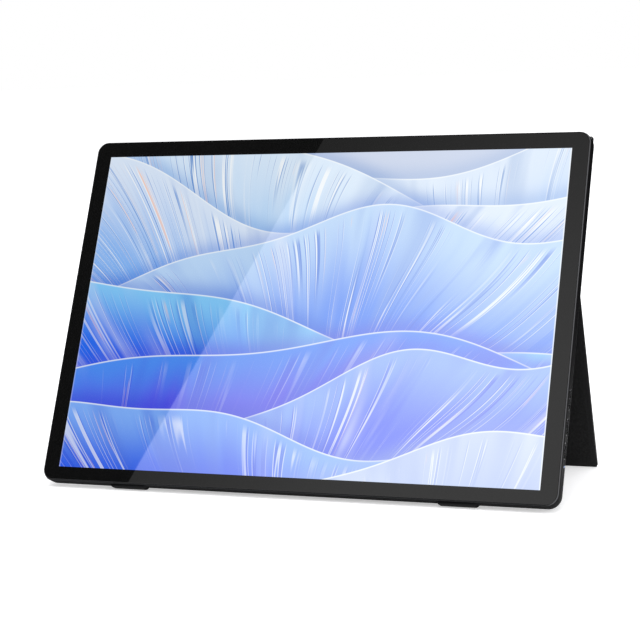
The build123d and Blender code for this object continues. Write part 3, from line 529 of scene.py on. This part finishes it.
for row in waves:
    values = [tone(*value) if isinstance(value, tuple) else value for value in row]
    wave = dict(zip(wave_words, values))
    silk = use(silk_wave, Place=picture_place, **wave)
    colour = layers(colour, (times(silk["Shadow"], wave_shadow), wave["Shade"]),
                    (silk["Mask"], silk["Colour"]))
print("picture of", len(waves), "waves")

# %% [markdown]
# The picture glows only inside the printed border, and a thin line of stray light runs up its two
# sides, more so on the right. The border is ink: a deep black with the faint unevenness of a print.
# Over both lies the gloss of the glass, which finger marks and a few specks of dust dull a little.
# Behind the glass the screen's own foils mirror the room as well, and ink doesn't, so a coat with
# a higher index, masked by the lit area, stands for the foils. The coat takes a part of the light
# that comes from below it, and the picture shines that much brighter.

# %% Glass finish
soft_edge = 0.06 * MM
glow_reach = 0.9 * MM
left_glow = 0.25
right_glow = 0.75
foil_index = 3.0
picture_light = 1.18
axes = split(in_place)
beside = calc("ABSOLUTE", axes["X"])
lit = times(ramp(beside, lit_half + soft_edge, lit_half - soft_edge),
            ramp(axes["Z"], -soft_edge, soft_edge),
            ramp(axes["Z"], lit_height + soft_edge, lit_height - soft_edge))
edge_glow = ramp(beside, lit_half - glow_reach, lit_half - glow_reach / 3)
side_glow = ramp(axes["X"], -lit_half, lit_half, left_glow, right_glow)
colour = blend(times(edge_glow, side_glow), colour, tone(244, 249, 255))
ink = blend(noise(place, 300.0, 4), tone(12, 12, 12), tone(17, 17, 17))
marks = use(handling, Place=place, Amount=0.35)
rough = plus(0.01, times(marks["Smudge"], 0.05), times(marks["Dust"], 0.3))
fill(shader, {"Base Color": ink, "Roughness": rough, "IOR": 1.5, "Coat Weight": lit,
              "Coat IOR": foil_index, "Coat Roughness": 0.02,
              "Emission Color": blend(lit, tone(0, 0, 0), colour),
              "Emission Strength": picture_light})
front_glass.data.materials.append(finishes["clear_glass"])
print("glass finish has", len(shader.id_data.nodes), "nodes")

# %% [markdown]
# ## What the glass reflects
# In the photograph a straight line runs down the glass. Right of it the glass mirrors a bright
# room, and left of it something dark. Glass mirrors a white world by itself, so only the dark part
# is missing: a large dark card, seen by nothing but reflections. Two points of the line in the
# picture give its edge. The view ray through each is turned back at the glass, and the card's edge
# lies on the two mirrored rays. A second, smaller card stands behind and to the right, where the
# narrow right wall looks: without it the wall would mirror white at that slant and turn grey.

# %% Dark cards
line_top = (319.2, 147.0)
line_bottom = (128.6, 481.6)
card_distance = 0.9
card_reach = 0.9
wall_card_distance = 0.22
wall_card_half = 0.26
square = ((-1, -1), (1, -1), (1, 1), (-1, 1))


def mirrored_point(pixel):
    """Where the view ray through a pixel is after the glass has turned it back."""
    x, y = pixel
    ray = (forward * lens_pixels + camera_right * (x - picture_middle[0])
           - camera_up * (y - picture_middle[1])).normalized()
    share = (lit_start - camera_spot).dot(back) / ray.dot(back)
    return camera_spot + ray * share + (ray - back * 2 * ray.dot(back)) * card_distance


def stage_sheet(name, corners, finish):
    """A flat four-cornered sheet with one finish, in the scene but not attached to the object."""
    mesh = bpy.data.meshes.new(name)
    mesh.from_pydata([tuple(corner) for corner in corners], [], [(0, 1, 2, 3)])
    mesh.materials.append(finishes[finish])
    made = new_object(name, mesh)
    return made


card_top, card_bottom = mirrored_point(line_top), mirrored_point(line_bottom)
card_edge = (card_top - card_bottom).normalized()
left_end = mirrored_point((line_bottom[0] - image_width / 10, line_bottom[1]))
card_side = (left_end - card_bottom).normalized()
glass_card = [card_bottom - card_edge * card_reach, card_top + card_edge * card_reach]
glass_card += [corner + card_side * 2 * card_reach for corner in reversed(glass_card)]

wall_view = Vector((-forward.x, forward.y, forward.z))
beside_view = wall_view.cross(Vector((0, 0, 1))).normalized() * wall_card_half
over_view = beside_view.cross(wall_view).normalized() * wall_card_half
wall_middle = spot(lit_half, 0, lit_height / 2) + wall_view * wall_card_distance
wall_card = [wall_middle + beside_view * a + over_view * b for a, b in square]

shader, place = new_finish("dark_card")
fill(shader, {"Base Color": tone(6, 6, 6), "Roughness": 1.0, "Specular IOR Level": 0.0})
for name, corners in (("glass_card", glass_card), ("wall_card", wall_card)):
    card = stage_sheet(name, corners, "dark_card")
    for ray_kind in ("camera", "diffuse", "transmission", "shadow", "volume_scatter"):
        setattr(card, "visible_" + ray_kind, False)
print("card edge from", [round(c, 2) for c in card_bottom], "to",
      [round(c, 2) for c in card_top], "wall card at", [round(c, 2) for c in wall_middle])

# %% [markdown]
# ## Metal, print and plastic
# The rear shell, the inner plastics, papers and foils, and the feet follow one plan: a colour that
# varies between two close tones, a roughness that varies, and a small bump. Under a lens such a
# surface is a fine even pebble. Drawn and plated metals follow a second plan, with fine lines in
# place of the grain. So each is a row of a table: its two tones, its span of roughness, and then
# the bump's height and the grain's size in millimetres, or the metal's lines in a metre. The last
# value of the shell and the feet is a lower gloss.

# %% Surfaces by two recipes


def surface(name, dark, light, rough, height, size=0.4, gloss=0.5):
    """A finish with two close tones in patches, a roughness span and a fine grain."""
    shader, place = new_finish(name)
    grain = use(fine_grain, Place=place, Size=size * MM)
    marks = use(handling, Place=place, Amount=0.4)
    colour = layers(tone(*dark), (ramp(grain["Patches"], 0.3, 0.7), tone(*light)),
                    (times(grain["Height"], 0.25), tone(*light)),
                    (times(marks["Dust"], 0.25), tone(120, 120, 122)))
    level = plus(ramp(grain["Patches"], 0.2, 0.8, *rough), times(marks["Smudge"], -0.08))
    fill(shader, {"Base Color": colour, "Roughness": level, "Specular IOR Level": gloss,
                  "Normal": bump(grain["Height"], height * MM)})


def drawn_metal(name, dark, light, rough, lines_in_metre=9000.0):
    """Bare or plated metal with fine drawn lines."""
    shader, place = new_finish(name)
    lines = use(drawn_lines, Place=place, Across=lines_in_metre)["Lines"]
    marks = use(handling, Place=place, Amount=0.5)
    level = plus(ramp(lines, 0.2, 0.8, *rough), times(marks["Smudge"], 0.15))
    fill(shader, {"Base Color": blend(lines, tone(*dark), tone(*light)),
                  "Roughness": level, "Metallic": 1.0, "Normal": bump(lines, 0.004 * MM)})


surfaces = {
    "tape": ((24, 24, 25), (34, 34, 35), (0.7, 0.9), 0.04),
    "clear_layer": ((190, 194, 200), (210, 213, 218), (0.3, 0.5), 0.01),
    "polariser": ((52, 54, 58), (62, 65, 70), (0.2, 0.35), 0.004),
    "chip_black": ((22, 22, 24), (34, 34, 36), (0.45, 0.6), 0.01, 0.15),
    "frame_plastic": ((20, 20, 21), (30, 30, 31), (0.5, 0.65), 0.02),
    "film_white": ((228, 229, 232), (242, 242, 244), (0.5, 0.7), 0.005, 0.2),
    "tongue_black": ((15, 15, 16), (26, 26, 27), (0.35, 0.5), 0.008, 0.2),
    "cable_white": ((205, 206, 210), (226, 226, 230), (0.35, 0.5), 0.006, 0.5),
    "wire_black": ((18, 18, 19), (32, 32, 33), (0.4, 0.55), 0.01),
    "pad_grey": ((126, 130, 142), (148, 152, 162), (0.7, 0.85), 0.02),
    "key_black": ((24, 24, 25), (33, 33, 34), (0.28, 0.4), 0.008, 0.2),
    "dark_shell": ((19, 19, 20), (28, 28, 29), (0.45, 0.58), 0.02, 0.3, 0.2),
    "foot_rubber": ((14, 14, 15), (23, 23, 24), (0.62, 0.8), 0.03, 0.3, 0.2),
}
metals = {
    "plate_board": ((120, 120, 122), (164, 164, 166), (0.35, 0.5), 2500.0),
    "tray_metal": ((150, 152, 155), (196, 198, 202), (0.3, 0.45), 2500.0),
    "steel": ((160, 160, 162), (208, 208, 210), (0.18, 0.32)),
    "black_steel": ((30, 30, 32), (58, 58, 61), (0.3, 0.45)),
}
for recipe, rows in ((surface, surfaces), (drawn_metal, metals)):
    for name, row in rows.items():
        recipe(name, *row)
print("finishes by recipe:", len(surfaces) + len(metals))

# %% [markdown]
# The side frame has two looks on one piece. Its walls are matt black, but the slanted rim round
# the glass is cut after coating and then only tinted, so it is a little paler. Down both sides
# the rim carries a painted highlight, a thin pale line. The depth behind the glass tells rim
# from wall, and the distance from the middle tells the sides, so both masks come from the screen's
# own directions. Where the rim turns into the wall, the coat is rubbed through in short streaks.

# %% Side frame finish
rim_depth = 0.75 * MM
rim_softness = 0.04 * MM
side_highlight_reach = 7.0 * MM
wear_reach = 0.35 * MM
body_half = half_of("side_frame")
shader, place = new_finish("dark_frame")
in_place = use(screen_place, Place=place)["Place"]
axes = split(in_place)
rim = ramp(axes["Y"], rim_depth + rim_softness, rim_depth - rim_softness)
# Painted highlight: this mask makes the rim paler down both sides of the frame.
held = ramp(calc("ABSOLUTE", axes["X"]), body_half - side_highlight_reach, body_half - side_highlight_reach / 4)
from_bend = calc("ABSOLUTE", calc("SUBTRACT", axes["Y"], rim_depth))
streaks = ramp(noise(in_place, 260.0, 5, 0.7), 0.60, 0.72)
worn = times(ramp(from_bend, wear_reach, 0.0), streaks)
grain = use(fine_grain, Place=place, Size=0.25 * MM)
marks = use(handling, Place=place, Amount=0.4)
# The pale tone of the painted highlight down the sides.
pale = blend(grain["Patches"], tone(72, 72, 74), tone(90, 90, 92))
colour = layers(tone(10, 10, 11), (grain["Height"], tone(19, 19, 20)),
                (times(marks["Dust"], 0.3), tone(110, 110, 112)),
                (rim, blend(held, tone(38, 38, 39), pale)),
                (times(worn, 0.5), tone(116, 116, 118)))
level = plus(0.52, times(rim, -0.15), times(grain["Patches"], 0.08))
fill(shader, {"Base Color": colour, "Roughness": level, "Metallic": times(worn, 0.6),
              "Normal": bump(grain["Height"], 0.012 * MM), "Specular IOR Level": 0.07})
print("side frame finish has", len(shader.id_data.nodes), "nodes")

# %% [markdown]
# The print round the picture is ink on the inside of the glass. It has no gloss of its own, because
# glass lies on it, and it is a deep black with the faint unevenness of a screen print.

# %% Border print
shader, place = new_finish("border_print")
uneven = noise(place, 300.0, 4)
fill(shader, {"Base Color": blend(uneven, tone(14, 14, 14), tone(19, 19, 20)),
              "Roughness": ramp(uneven, 0.3, 0.7, 0.6, 0.8), "Specular IOR Level": 0.0})
print("border print has", len(shader.id_data.nodes), "nodes")

# %% [markdown]
# ## Skin on the stand
# The upper plate and the leaf are wrapped in a thin synthetic skin with a fine pebble grain. Up
# close each pebble is a small dome with a crease round it, and its tone differs a little from its
# neighbours', which gives the speckle seen in the photograph. The creases carry a painted shade.
# The leaf's inner face is the same skin with a coarser grain, more matt and with a darker low tone.

# %% Skin finishes


def skin(name, dark, light, rough, size):
    """Pebbled skin with two tones, a roughness span and a pebble size in millimetres."""
    shader, place = new_finish(name)
    grain = use(skin_grain, Place=place, Size=size * MM)
    marks = use(handling, Place=place, Amount=0.5)
    # The creases are darkened here, a painted shade.
    colour = layers(tone(*dark), (grain["Pebbles"], tone(*light)),
                    (ramp(grain["Height"], 0.5, 0.0, 0.0, 0.7), tone(8, 8, 8)),
                    (times(grain["Patches"], 0.2), tone(*light)),
                    (times(marks["Dust"], 0.35), tone(130, 130, 130)))
    level = plus(ramp(grain["Patches"], 0.25, 0.75, *rough), times(marks["Smudge"], -0.1))
    fill(shader, {"Base Color": colour, "Roughness": level, "Specular IOR Level": 0.22,
                  "Normal": bump(grain["Height"], 0.06 * MM, 0.8)})


skin("skin", (9, 9, 10), (26, 26, 27), (0.5, 0.62), 0.6)
skin("lining", (2, 2, 2), (28, 28, 29), (0.6, 0.72), 0.8)
print("skin_grain has", len(skin_grain.nodes), "nodes")

# %% [markdown]
# ## Boards, foils and lights
# Circuit boards are green lacquer over copper. Their tracks run square to the board's edges, so
# two sets of bands, switched by blocks of noise, stand for them, with a spray of gold pads. The
# amber foil carries fine parallel copper lines. The light pipe glows a little, since the screen is
# on, and the cell behind the picture is grey glass with a fine grid of pixels.

# %% Boards and foils


def bands(value, pitch, share):
    """1 in a share of every pitch, 0 between."""
    turns = calc("FRACT", calc("DIVIDE", value, pitch))
    return calc("LESS_THAN", turns, share)


def board(name, lacquer, copper, pitch):
    """A lacquered board whose bands run along it in some blocks and up it in others."""
    shader, place = new_finish(name)
    in_place = use(screen_place, Place=place)["Place"]
    axes = split(in_place)
    blocks = add("ShaderNodeTexVoronoi", {"Vector": in_place, "Scale": 160.0},
                 distance="MANHATTAN").outputs["Color"]
    lines = between(calc("GREATER_THAN", blocks, 0.5), bands(axes["X"], pitch * MM, 0.38),
                    bands(axes["Z"], pitch * MM, 0.38))
    pads = add("ShaderNodeTexVoronoi", {"Vector": in_place, "Scale": 420.0}).outputs
    patch = noise(in_place, 90.0, 2)
    pads = times(ramp(pads["Distance"], 0.24, 0.20), ramp(patch, 0.5, 0.6))
    colour = layers(tone(*lacquer), (times(lines, 0.55), tone(*copper)),
                    (pads, tone(212, 178, 96)))
    fill(shader, {"Base Color": colour, "Normal": bump(lines, 0.02 * MM, 0.7),
                  "Roughness": ramp(patch, 0.2, 0.8, 0.25, 0.45)})


board("board_green", (14, 74, 42), (36, 116, 66), 1.2)
board("foil_amber", (150, 92, 28), (196, 128, 50), 0.5)
board("led_board", (226, 224, 206), (238, 226, 150), 4.0)
print("finishes so far:", len(finishes))

# %% Light pipe, light guide and cell
shader, place = new_finish("light_clear")
pale = blend(noise(place, 900.0), tone(190, 210, 235), tone(220, 232, 250))
glow = blend(noise(place, 700.0), tone(90, 150, 255), tone(130, 180, 255))
fill(shader, {"Base Color": pale, "Emission Color": glow, "Emission Strength": 0.6,
              "Roughness": 0.25})

shader, place = new_finish("guide_clear")
in_place = use(screen_place, Place=place)["Place"]
dots = add("ShaderNodeTexVoronoi", {"Vector": in_place, "Scale": 900.0,
                                    "Randomness": 0.15}).outputs["Distance"]
pale = blend(ramp(dots, 0.35, 0.25), tone(214, 220, 226), tone(246, 248, 250))
fill(shader, {"Base Color": pale, "Roughness": ramp(dots, 0.2, 0.4, 0.5, 0.12)})

pixel = 0.132 * MM
shader, place = new_finish("lit_cell")
axes = split(use(screen_place, Place=place)["Place"])
grid = calc("MAXIMUM", bands(axes["Z"], pixel, 0.1), bands(axes["X"], pixel / 3, 0.15))
fill(shader, {"Base Color": blend(grid, tone(70, 80, 104), tone(20, 22, 28)),
              "Roughness": ramp(noise(place, 60.0), 0.3, 0.7, 0.08, 0.2)})
print("finishes so far:", len(finishes))

# %% Give every CAD node its finish
slot_of = {}
for name, node in nodes.items():
    for held in node.material_slots:
        slot_of[name] = held.material.name
        held.material = finishes[slot_of[name]]
print("CAD nodes with a finish:", len(slot_of))

# %% [markdown]
# ## Softer edges
# No real edge is perfectly sharp, and the thin bright lines along edges are what tells the eye
# metal, skin or rubber. The CAD meshes are loose triangles with sharp corners, and they stay as
# they are. A copy of each piece that shows its edges is joined up, its flat faces are cleaned of
# needless cuts, and its outer edges are rounded. Faces square to the piece's own directions stay
# flat, so that only the bends are shaded smooth. The copy then stands for the CAD piece.

# %% Rounded copies
weld_distance = 0.002 * MM
flat_limit = math.radians(0.5)
sharp_limit = math.radians(30)
shading_limit = math.radians(32)
square_limit = 0.99999
corner_reach = 7.0 * MM
outline_reach = 0.75 * MM
frame_rounding = 0.08 * MM
foot_rounding = 0.3 * MM
key_rounding = 0.06 * MM
near = 0.05 * MM
body_low, body_high = span("side_frame", up)
frame_back = span("side_frame", back)[1]


def softened(node, width, chosen, steps=2, axes=(right, back, up)):
    """A joined copy of a CAD node with some of its sharp edges rounded; it replaces the node."""
    mesh = nodes[node].data.copy()
    mesh.name = node + "_rounded"
    work = bmesh.new()
    work.from_mesh(mesh)
    bmesh.ops.remove_doubles(work, verts=work.verts, dist=weld_distance)
    bmesh.ops.dissolve_limit(work, angle_limit=flat_limit, verts=work.verts, edges=work.edges)
    picked = [edge for edge in work.edges if len(edge.link_faces) == 2
              and edge.calc_face_angle(0) > sharp_limit and chosen(middle_of(edge))]
    bmesh.ops.bevel(work, geom=picked, offset=width, segments=steps, profile=0.5,
                    affect="EDGES", clamp_overlap=False)
    bmesh.ops.triangulate(work, faces=work.faces)
    work.normal_update()
    for face in work.faces:
        face.smooth = not any(abs(face.normal.dot(axis)) > square_limit for axis in axes)
    work.to_mesh(mesh)
    work.free()
    mesh.set_sharp_from_angle(angle=shading_limit)
    for attribute in [a.name for a in mesh.attributes if a.name.startswith("custom_normal")]:
        mesh.attributes.remove(mesh.attributes[attribute])
    made = new_object(mesh.name, mesh)
    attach(made, nodes[node]["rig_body"])
    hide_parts(node)
    print(node, "rounded on", len(picked), "edges,", len(mesh.polygons), "triangles")


def middle_of(edge):
    """The middle of an edge."""
    return (edge.verts[0].co + edge.verts[1].co) / 2


def on_outline(point):
    """Whether a point lies on the body's outline, front or back, and not inside it."""
    across, deep, high = place_of(point)
    inside_x = abs(across) - (body_half - corner_reach)
    inside_z = abs(high - (body_low + body_high) / 2) - ((body_high - body_low) / 2 - corner_reach)
    reach = max(inside_x, inside_z)
    if min(inside_x, inside_z) > 0:
        reach = math.hypot(inside_x, inside_z)
    front_or_back = deep < 2 * near or deep > frame_back - near
    return reach > corner_reach - outline_reach and front_or_back


softened("side_frame", frame_rounding, on_outline)
for foot in ("foot_left", "foot_right"):
    softened(foot, foot_rounding, lambda point: place_of(point)[2] < body_low - near, 3)
for key in ("power_key", "menu_rocker"):
    softened(key, key_rounding, lambda point: place_of(point)[0] < -body_half - 2 * near)

# %% [markdown]
# The upper plate and the leaf are boards wrapped in skin. Skin that is drawn round an edge can't
# turn sharply, so its outer edges are rounder than the metal's. The leaf is open at rest, so its
# edges are found by its own directions, turned about the hinge from the screen's.

# %% Rounded skins
leaf_turn = math.radians(-joints["stand_hinge"]["range_deg"][0])
leaf_back = back * math.cos(leaf_turn) + up * math.sin(leaf_turn)
leaf_up = up * math.cos(leaf_turn) - back * math.sin(leaf_turn)
skin_rounding = 0.3 * MM
near_face = 0.02 * MM
near_side = 1.6 * MM


def outer_edges(node, out, rise):
    """A test for points on the edges of a wrapped board's outer face, from its two directions."""
    face = along(node, out)[1]
    sides = [(direction, *along(node, direction)) for direction in (right, rise)]
    return lambda point: abs(point.dot(out) - face) <= near_face and any(
        min(point.dot(direction) - low, high - point.dot(direction)) < near_side
        for direction, low, high in sides)


softened("plate_skin", skin_rounding, outer_edges("plate_skin", back, up), 3)
softened("leaf_outer_skin", skin_rounding, outer_edges("leaf_outer_skin", leaf_back, leaf_up), 3,
         (right, leaf_back, leaf_up))
print("leaf stands", round(math.degrees(leaf_turn), 1), "degrees from closed")

# %% [markdown]
# ## Contacts in the sockets
# Each tongue in the three sockets carries rows of gilded contacts: twelve on each side in the two
# round-ended ones, ten and nine in the third. They could be placed one by one, but a row is a rule,
# so Geometry Nodes make it: one pad with rounded ends is drawn, filled and thickened, and set on a
# line of points. The row's sizes are named inputs. Each row is made lying flat at the origin, then
# made a plain mesh and moved onto its tongue, whose sizes are read from the CAD mesh at the mouth.

# %% A row of contacts
row_tree, given, outs = new_group(
    "contact_row", {"Count": 12, "Pitch": 0.5 * MM, "Length": 2.0 * MM, "Width": 0.24 * MM,
                    "Thickness": 0.03 * MM, "Finish": None}, ["Mesh"], "GeometryNodeTree")
identifier_of = {item.name: item.identifier for item in row_tree.interface.items_tree
                 if item.in_out == "INPUT"}
shape = add("GeometryNodeCurvePrimitiveQuadrilateral",
            {"Width": given["Length"], "Height": given["Width"]}).outputs[0]
shape = add("GeometryNodeFilletCurve",
            {"Curve": shape, "Radius": times(given["Width"], 0.49), "Count": 3},
            mode="POLY").outputs[0]
flat = add("GeometryNodeFillCurve", {"Curve": shape}, mode="NGONS").outputs[0]
lifted = add("GeometryNodeExtrudeMesh", {"Mesh": flat, "Offset Scale": given["Thickness"]})
base = add("GeometryNodeFlipFaces", {"Mesh": flat})
pad = row_tree.nodes.new("GeometryNodeJoinGeometry")
for half in (lifted, base):
    row_tree.links.new(half.outputs[0], pad.inputs[0])
pad = add("GeometryNodeMergeByDistance", {"Geometry": pad.outputs[0], "Distance": 0.001 * MM})
step = add("ShaderNodeCombineXYZ", {1: given["Pitch"]})
line = add("GeometryNodeMeshLine", {"Count": given["Count"], "Offset": step.outputs[0]})
row = add("GeometryNodeInstanceOnPoints", {"Points": line.outputs[0], "Instance": pad.outputs[0]})
row = add("GeometryNodeRealizeInstances", {"Geometry": row.outputs[0]})
row = add("GeometryNodeSetMaterial", {"Geometry": row.outputs[0], "Material": given["Finish"]})
fill(outs, {"Mesh": row.outputs[0]})
print("contact_row has", len(row_tree.nodes), "nodes and inputs", sorted(identifier_of))

# %% [markdown]
# Gilding over copper is bright and warm. Plugs have slid over it, so fine scratches run along each
# contact, which is the drawn lines again with their long side across the screen.

# %% Gilded finish
drawn_metal("gilded", (206, 160, 84), (240, 204, 132), (0.2, 0.36))
print("gilded finish has", len(finishes["gilded"].node_tree.nodes), "nodes")

# %% Rows on the tongues
mouth_reach = 0.8 * MM
from_tip = 0.5 * MM
usb_sizes = (0.5 * MM, 2.0 * MM, 0.26 * MM)
mini_sizes = (0.8 * MM, 2.4 * MM, 0.36 * MM)
contact_mesh = bmesh.new()
contact_count = 0


def mouth_of(node, low, high):
    """How far a tongue reaches to the right, and its span deep and high near its mouth."""
    points = [place_of(vertex.co) for vertex in nodes[node].data.vertices]
    points = [point for point in points if low < point[2] < high]
    tip = max(point[0] for point in points)
    mouth = [point for point in points if point[0] > tip - mouth_reach]
    return tip, [[limit(point[axis] for point in mouth) for limit in (min, max)]
                 for axis in (1, 2)]


def contact_row(count, pitch, length, width, node, low, high, outward):
    """One row of contacts on a tongue's front (outward -1) or back (outward 1)."""
    tip, ((front, behind), (bottom, top)) = mouth_of(node, low, high)
    helper = new_object("row_helper", bpy.data.meshes.new("row_helper"))
    maker = helper.modifiers.new("row", "NODES")
    maker.node_group = row_tree
    for label, value in (("Count", count), ("Pitch", pitch), ("Length", length),
                         ("Width", width), ("Finish", finishes["gilded"])):
        maker[identifier_of[label]] = value
    bpy.context.view_layer.update()
    solved = helper.evaluated_get(bpy.context.evaluated_depsgraph_get())
    mesh = bpy.data.meshes.new_from_object(solved)
    out = back * outward
    along_row = out.cross(right)
    start_high = (bottom + top) / 2 - along_row.dot(up) * pitch * (count - 1) / 2
    start = spot(tip - from_tip - length / 2, front if outward < 0 else behind, start_high)
    turn = Matrix((right, along_row, out)).transposed().to_4x4()
    mesh.transform(Matrix.Translation(start) @ turn)
    contact_mesh.from_mesh(mesh)
    bpy.data.objects.remove(helper)
    print(node, count, "contacts on a tongue", round((behind - front) / MM, 2), "thick and",
          round((top - bottom) / MM, 2), "mm wide")
    return count


usb_low, usb_high = span("usb_tongues", up)
usb_gap = (usb_low + usb_high) / 2
for low, high in ((usb_low - MM, usb_gap), (usb_gap, usb_high + MM)):
    for outward in (-1, 1):
        contact_count += contact_row(12, *usb_sizes, "usb_tongues", low, high, outward)
mini_low, mini_high = span("hdmi_tongue", up)
for count, outward in ((10, -1), (9, 1)):
    contact_count += contact_row(count, *mini_sizes, "hdmi_tongue", mini_low - MM,
                                 mini_high + MM, outward)
mesh = bpy.data.meshes.new("socket_contacts")
contact_mesh.to_mesh(mesh)
contact_mesh.free()
mesh.materials.append(finishes["gilded"])
contacts = new_object("socket_contacts", mesh)
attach(contacts, "display")
print(contact_count, "contacts,", len(mesh.polygons), "faces")

# %% [markdown]
# ## The room
# The photograph shows the monitor on pure white. The world is white wherever the camera, a
# reflection or a view through glass meets it, and a softer white lights the surfaces. A mirror
# that faces up meets a greyer ceiling, so the glass is a little darker towards its top. The
# ceiling is greyest in its left corner, as in the photograph, where the gloss fades to the left.
# A mirror that faces sideways meets grey walls, so the picture still reads when seen at a slant.
# The floor is pale and keeps a soft shadow; mirrors see it a little greyer than the camera does.
# Large plain lamps stand off to the sides, out of the glass's view.

# %% Floor, world and lamps
world_light = 0.75
wall_top = 0.64
ceiling_low = 0.85
ceiling_light = 0.3
side_near = 0.6
side_far = 0.92
side_light = 0.25
corner_slope = 0.74
corner_low = -0.945
corner_high = -0.78
corner_light = 0.34
lamp_aim = Vector((0, 0, 0.09))
floor_half = 3.0
floor_glow = 0.42
mirrored_glow = 0.1


def ray_kinds(tree):
    """Two masks: a ray from the camera, a reflection or through glass; and a reflection alone."""
    path = tree.nodes.new("ShaderNodeLightPath").outputs
    glossy = path["Is Glossy Ray"]
    straight = calc("MAXIMUM", path["Is Camera Ray"], glossy)
    return calc("MAXIMUM", straight, path["Is Transmission Ray"]), glossy


world = bpy.data.worlds.new("studio")
bpy.context.scene.world = world
world.use_nodes = True
room = world.node_tree
axes = split(room.nodes.new("ShaderNodeTexCoord").outputs["Generated"])
sideways = calc("ABSOLUTE", axes["X"])
into_corner = calc("SUBTRACT", axes["X"], times(axes["Z"], corner_slope))
mirrored = times(ramp(axes["Z"], wall_top, ceiling_low, 1.0, ceiling_light),
                 ramp(sideways, side_near, side_far, 1.0, side_light),
                 ramp(into_corner, corner_low, corner_high, corner_light, 1.0))
seen, glossy = ray_kinds(room)
strength = between(seen, world_light, between(glossy, 1.0, mirrored))
fill(room.nodes["Background"], {"Color": (1, 1, 1, 1), "Strength": strength})

shader, place = new_finish("floor")
seen, glossy = ray_kinds(shader.id_data)
glow = times(seen, between(glossy, floor_glow, mirrored_glow))
fill(shader, {"Base Color": tone(244, 244, 246), "Roughness": 0.9,
              "Specular IOR Level": 0.0, "Emission Color": (1, 1, 1, 1),
              "Emission Strength": glow})
stage_sheet("floor", [(x * floor_half, y * floor_half, 0) for x, y in square], "floor")


def lamp(name, place, size, power):
    """A soft square lamp turned to the middle of the object; it isn't seen in the glass."""
    data = bpy.data.lights.new(name, "AREA")
    data.shape = "SQUARE"
    data.size = size
    data.energy = power
    made = new_object(name, data)
    made.location = place
    made.rotation_euler = (lamp_aim - Vector(place)).to_track_quat("-Z", "Y").to_euler()
    made.visible_glossy = False


lamp("top_lamp", (0.1, -0.3, 1.3), 1.2, 9)
lamp("right_lamp", (1.3, -0.5, 0.6), 0.9, 6)
lamp("back_lamp", (-0.6, 1.3, 0.9), 1.0, 7)
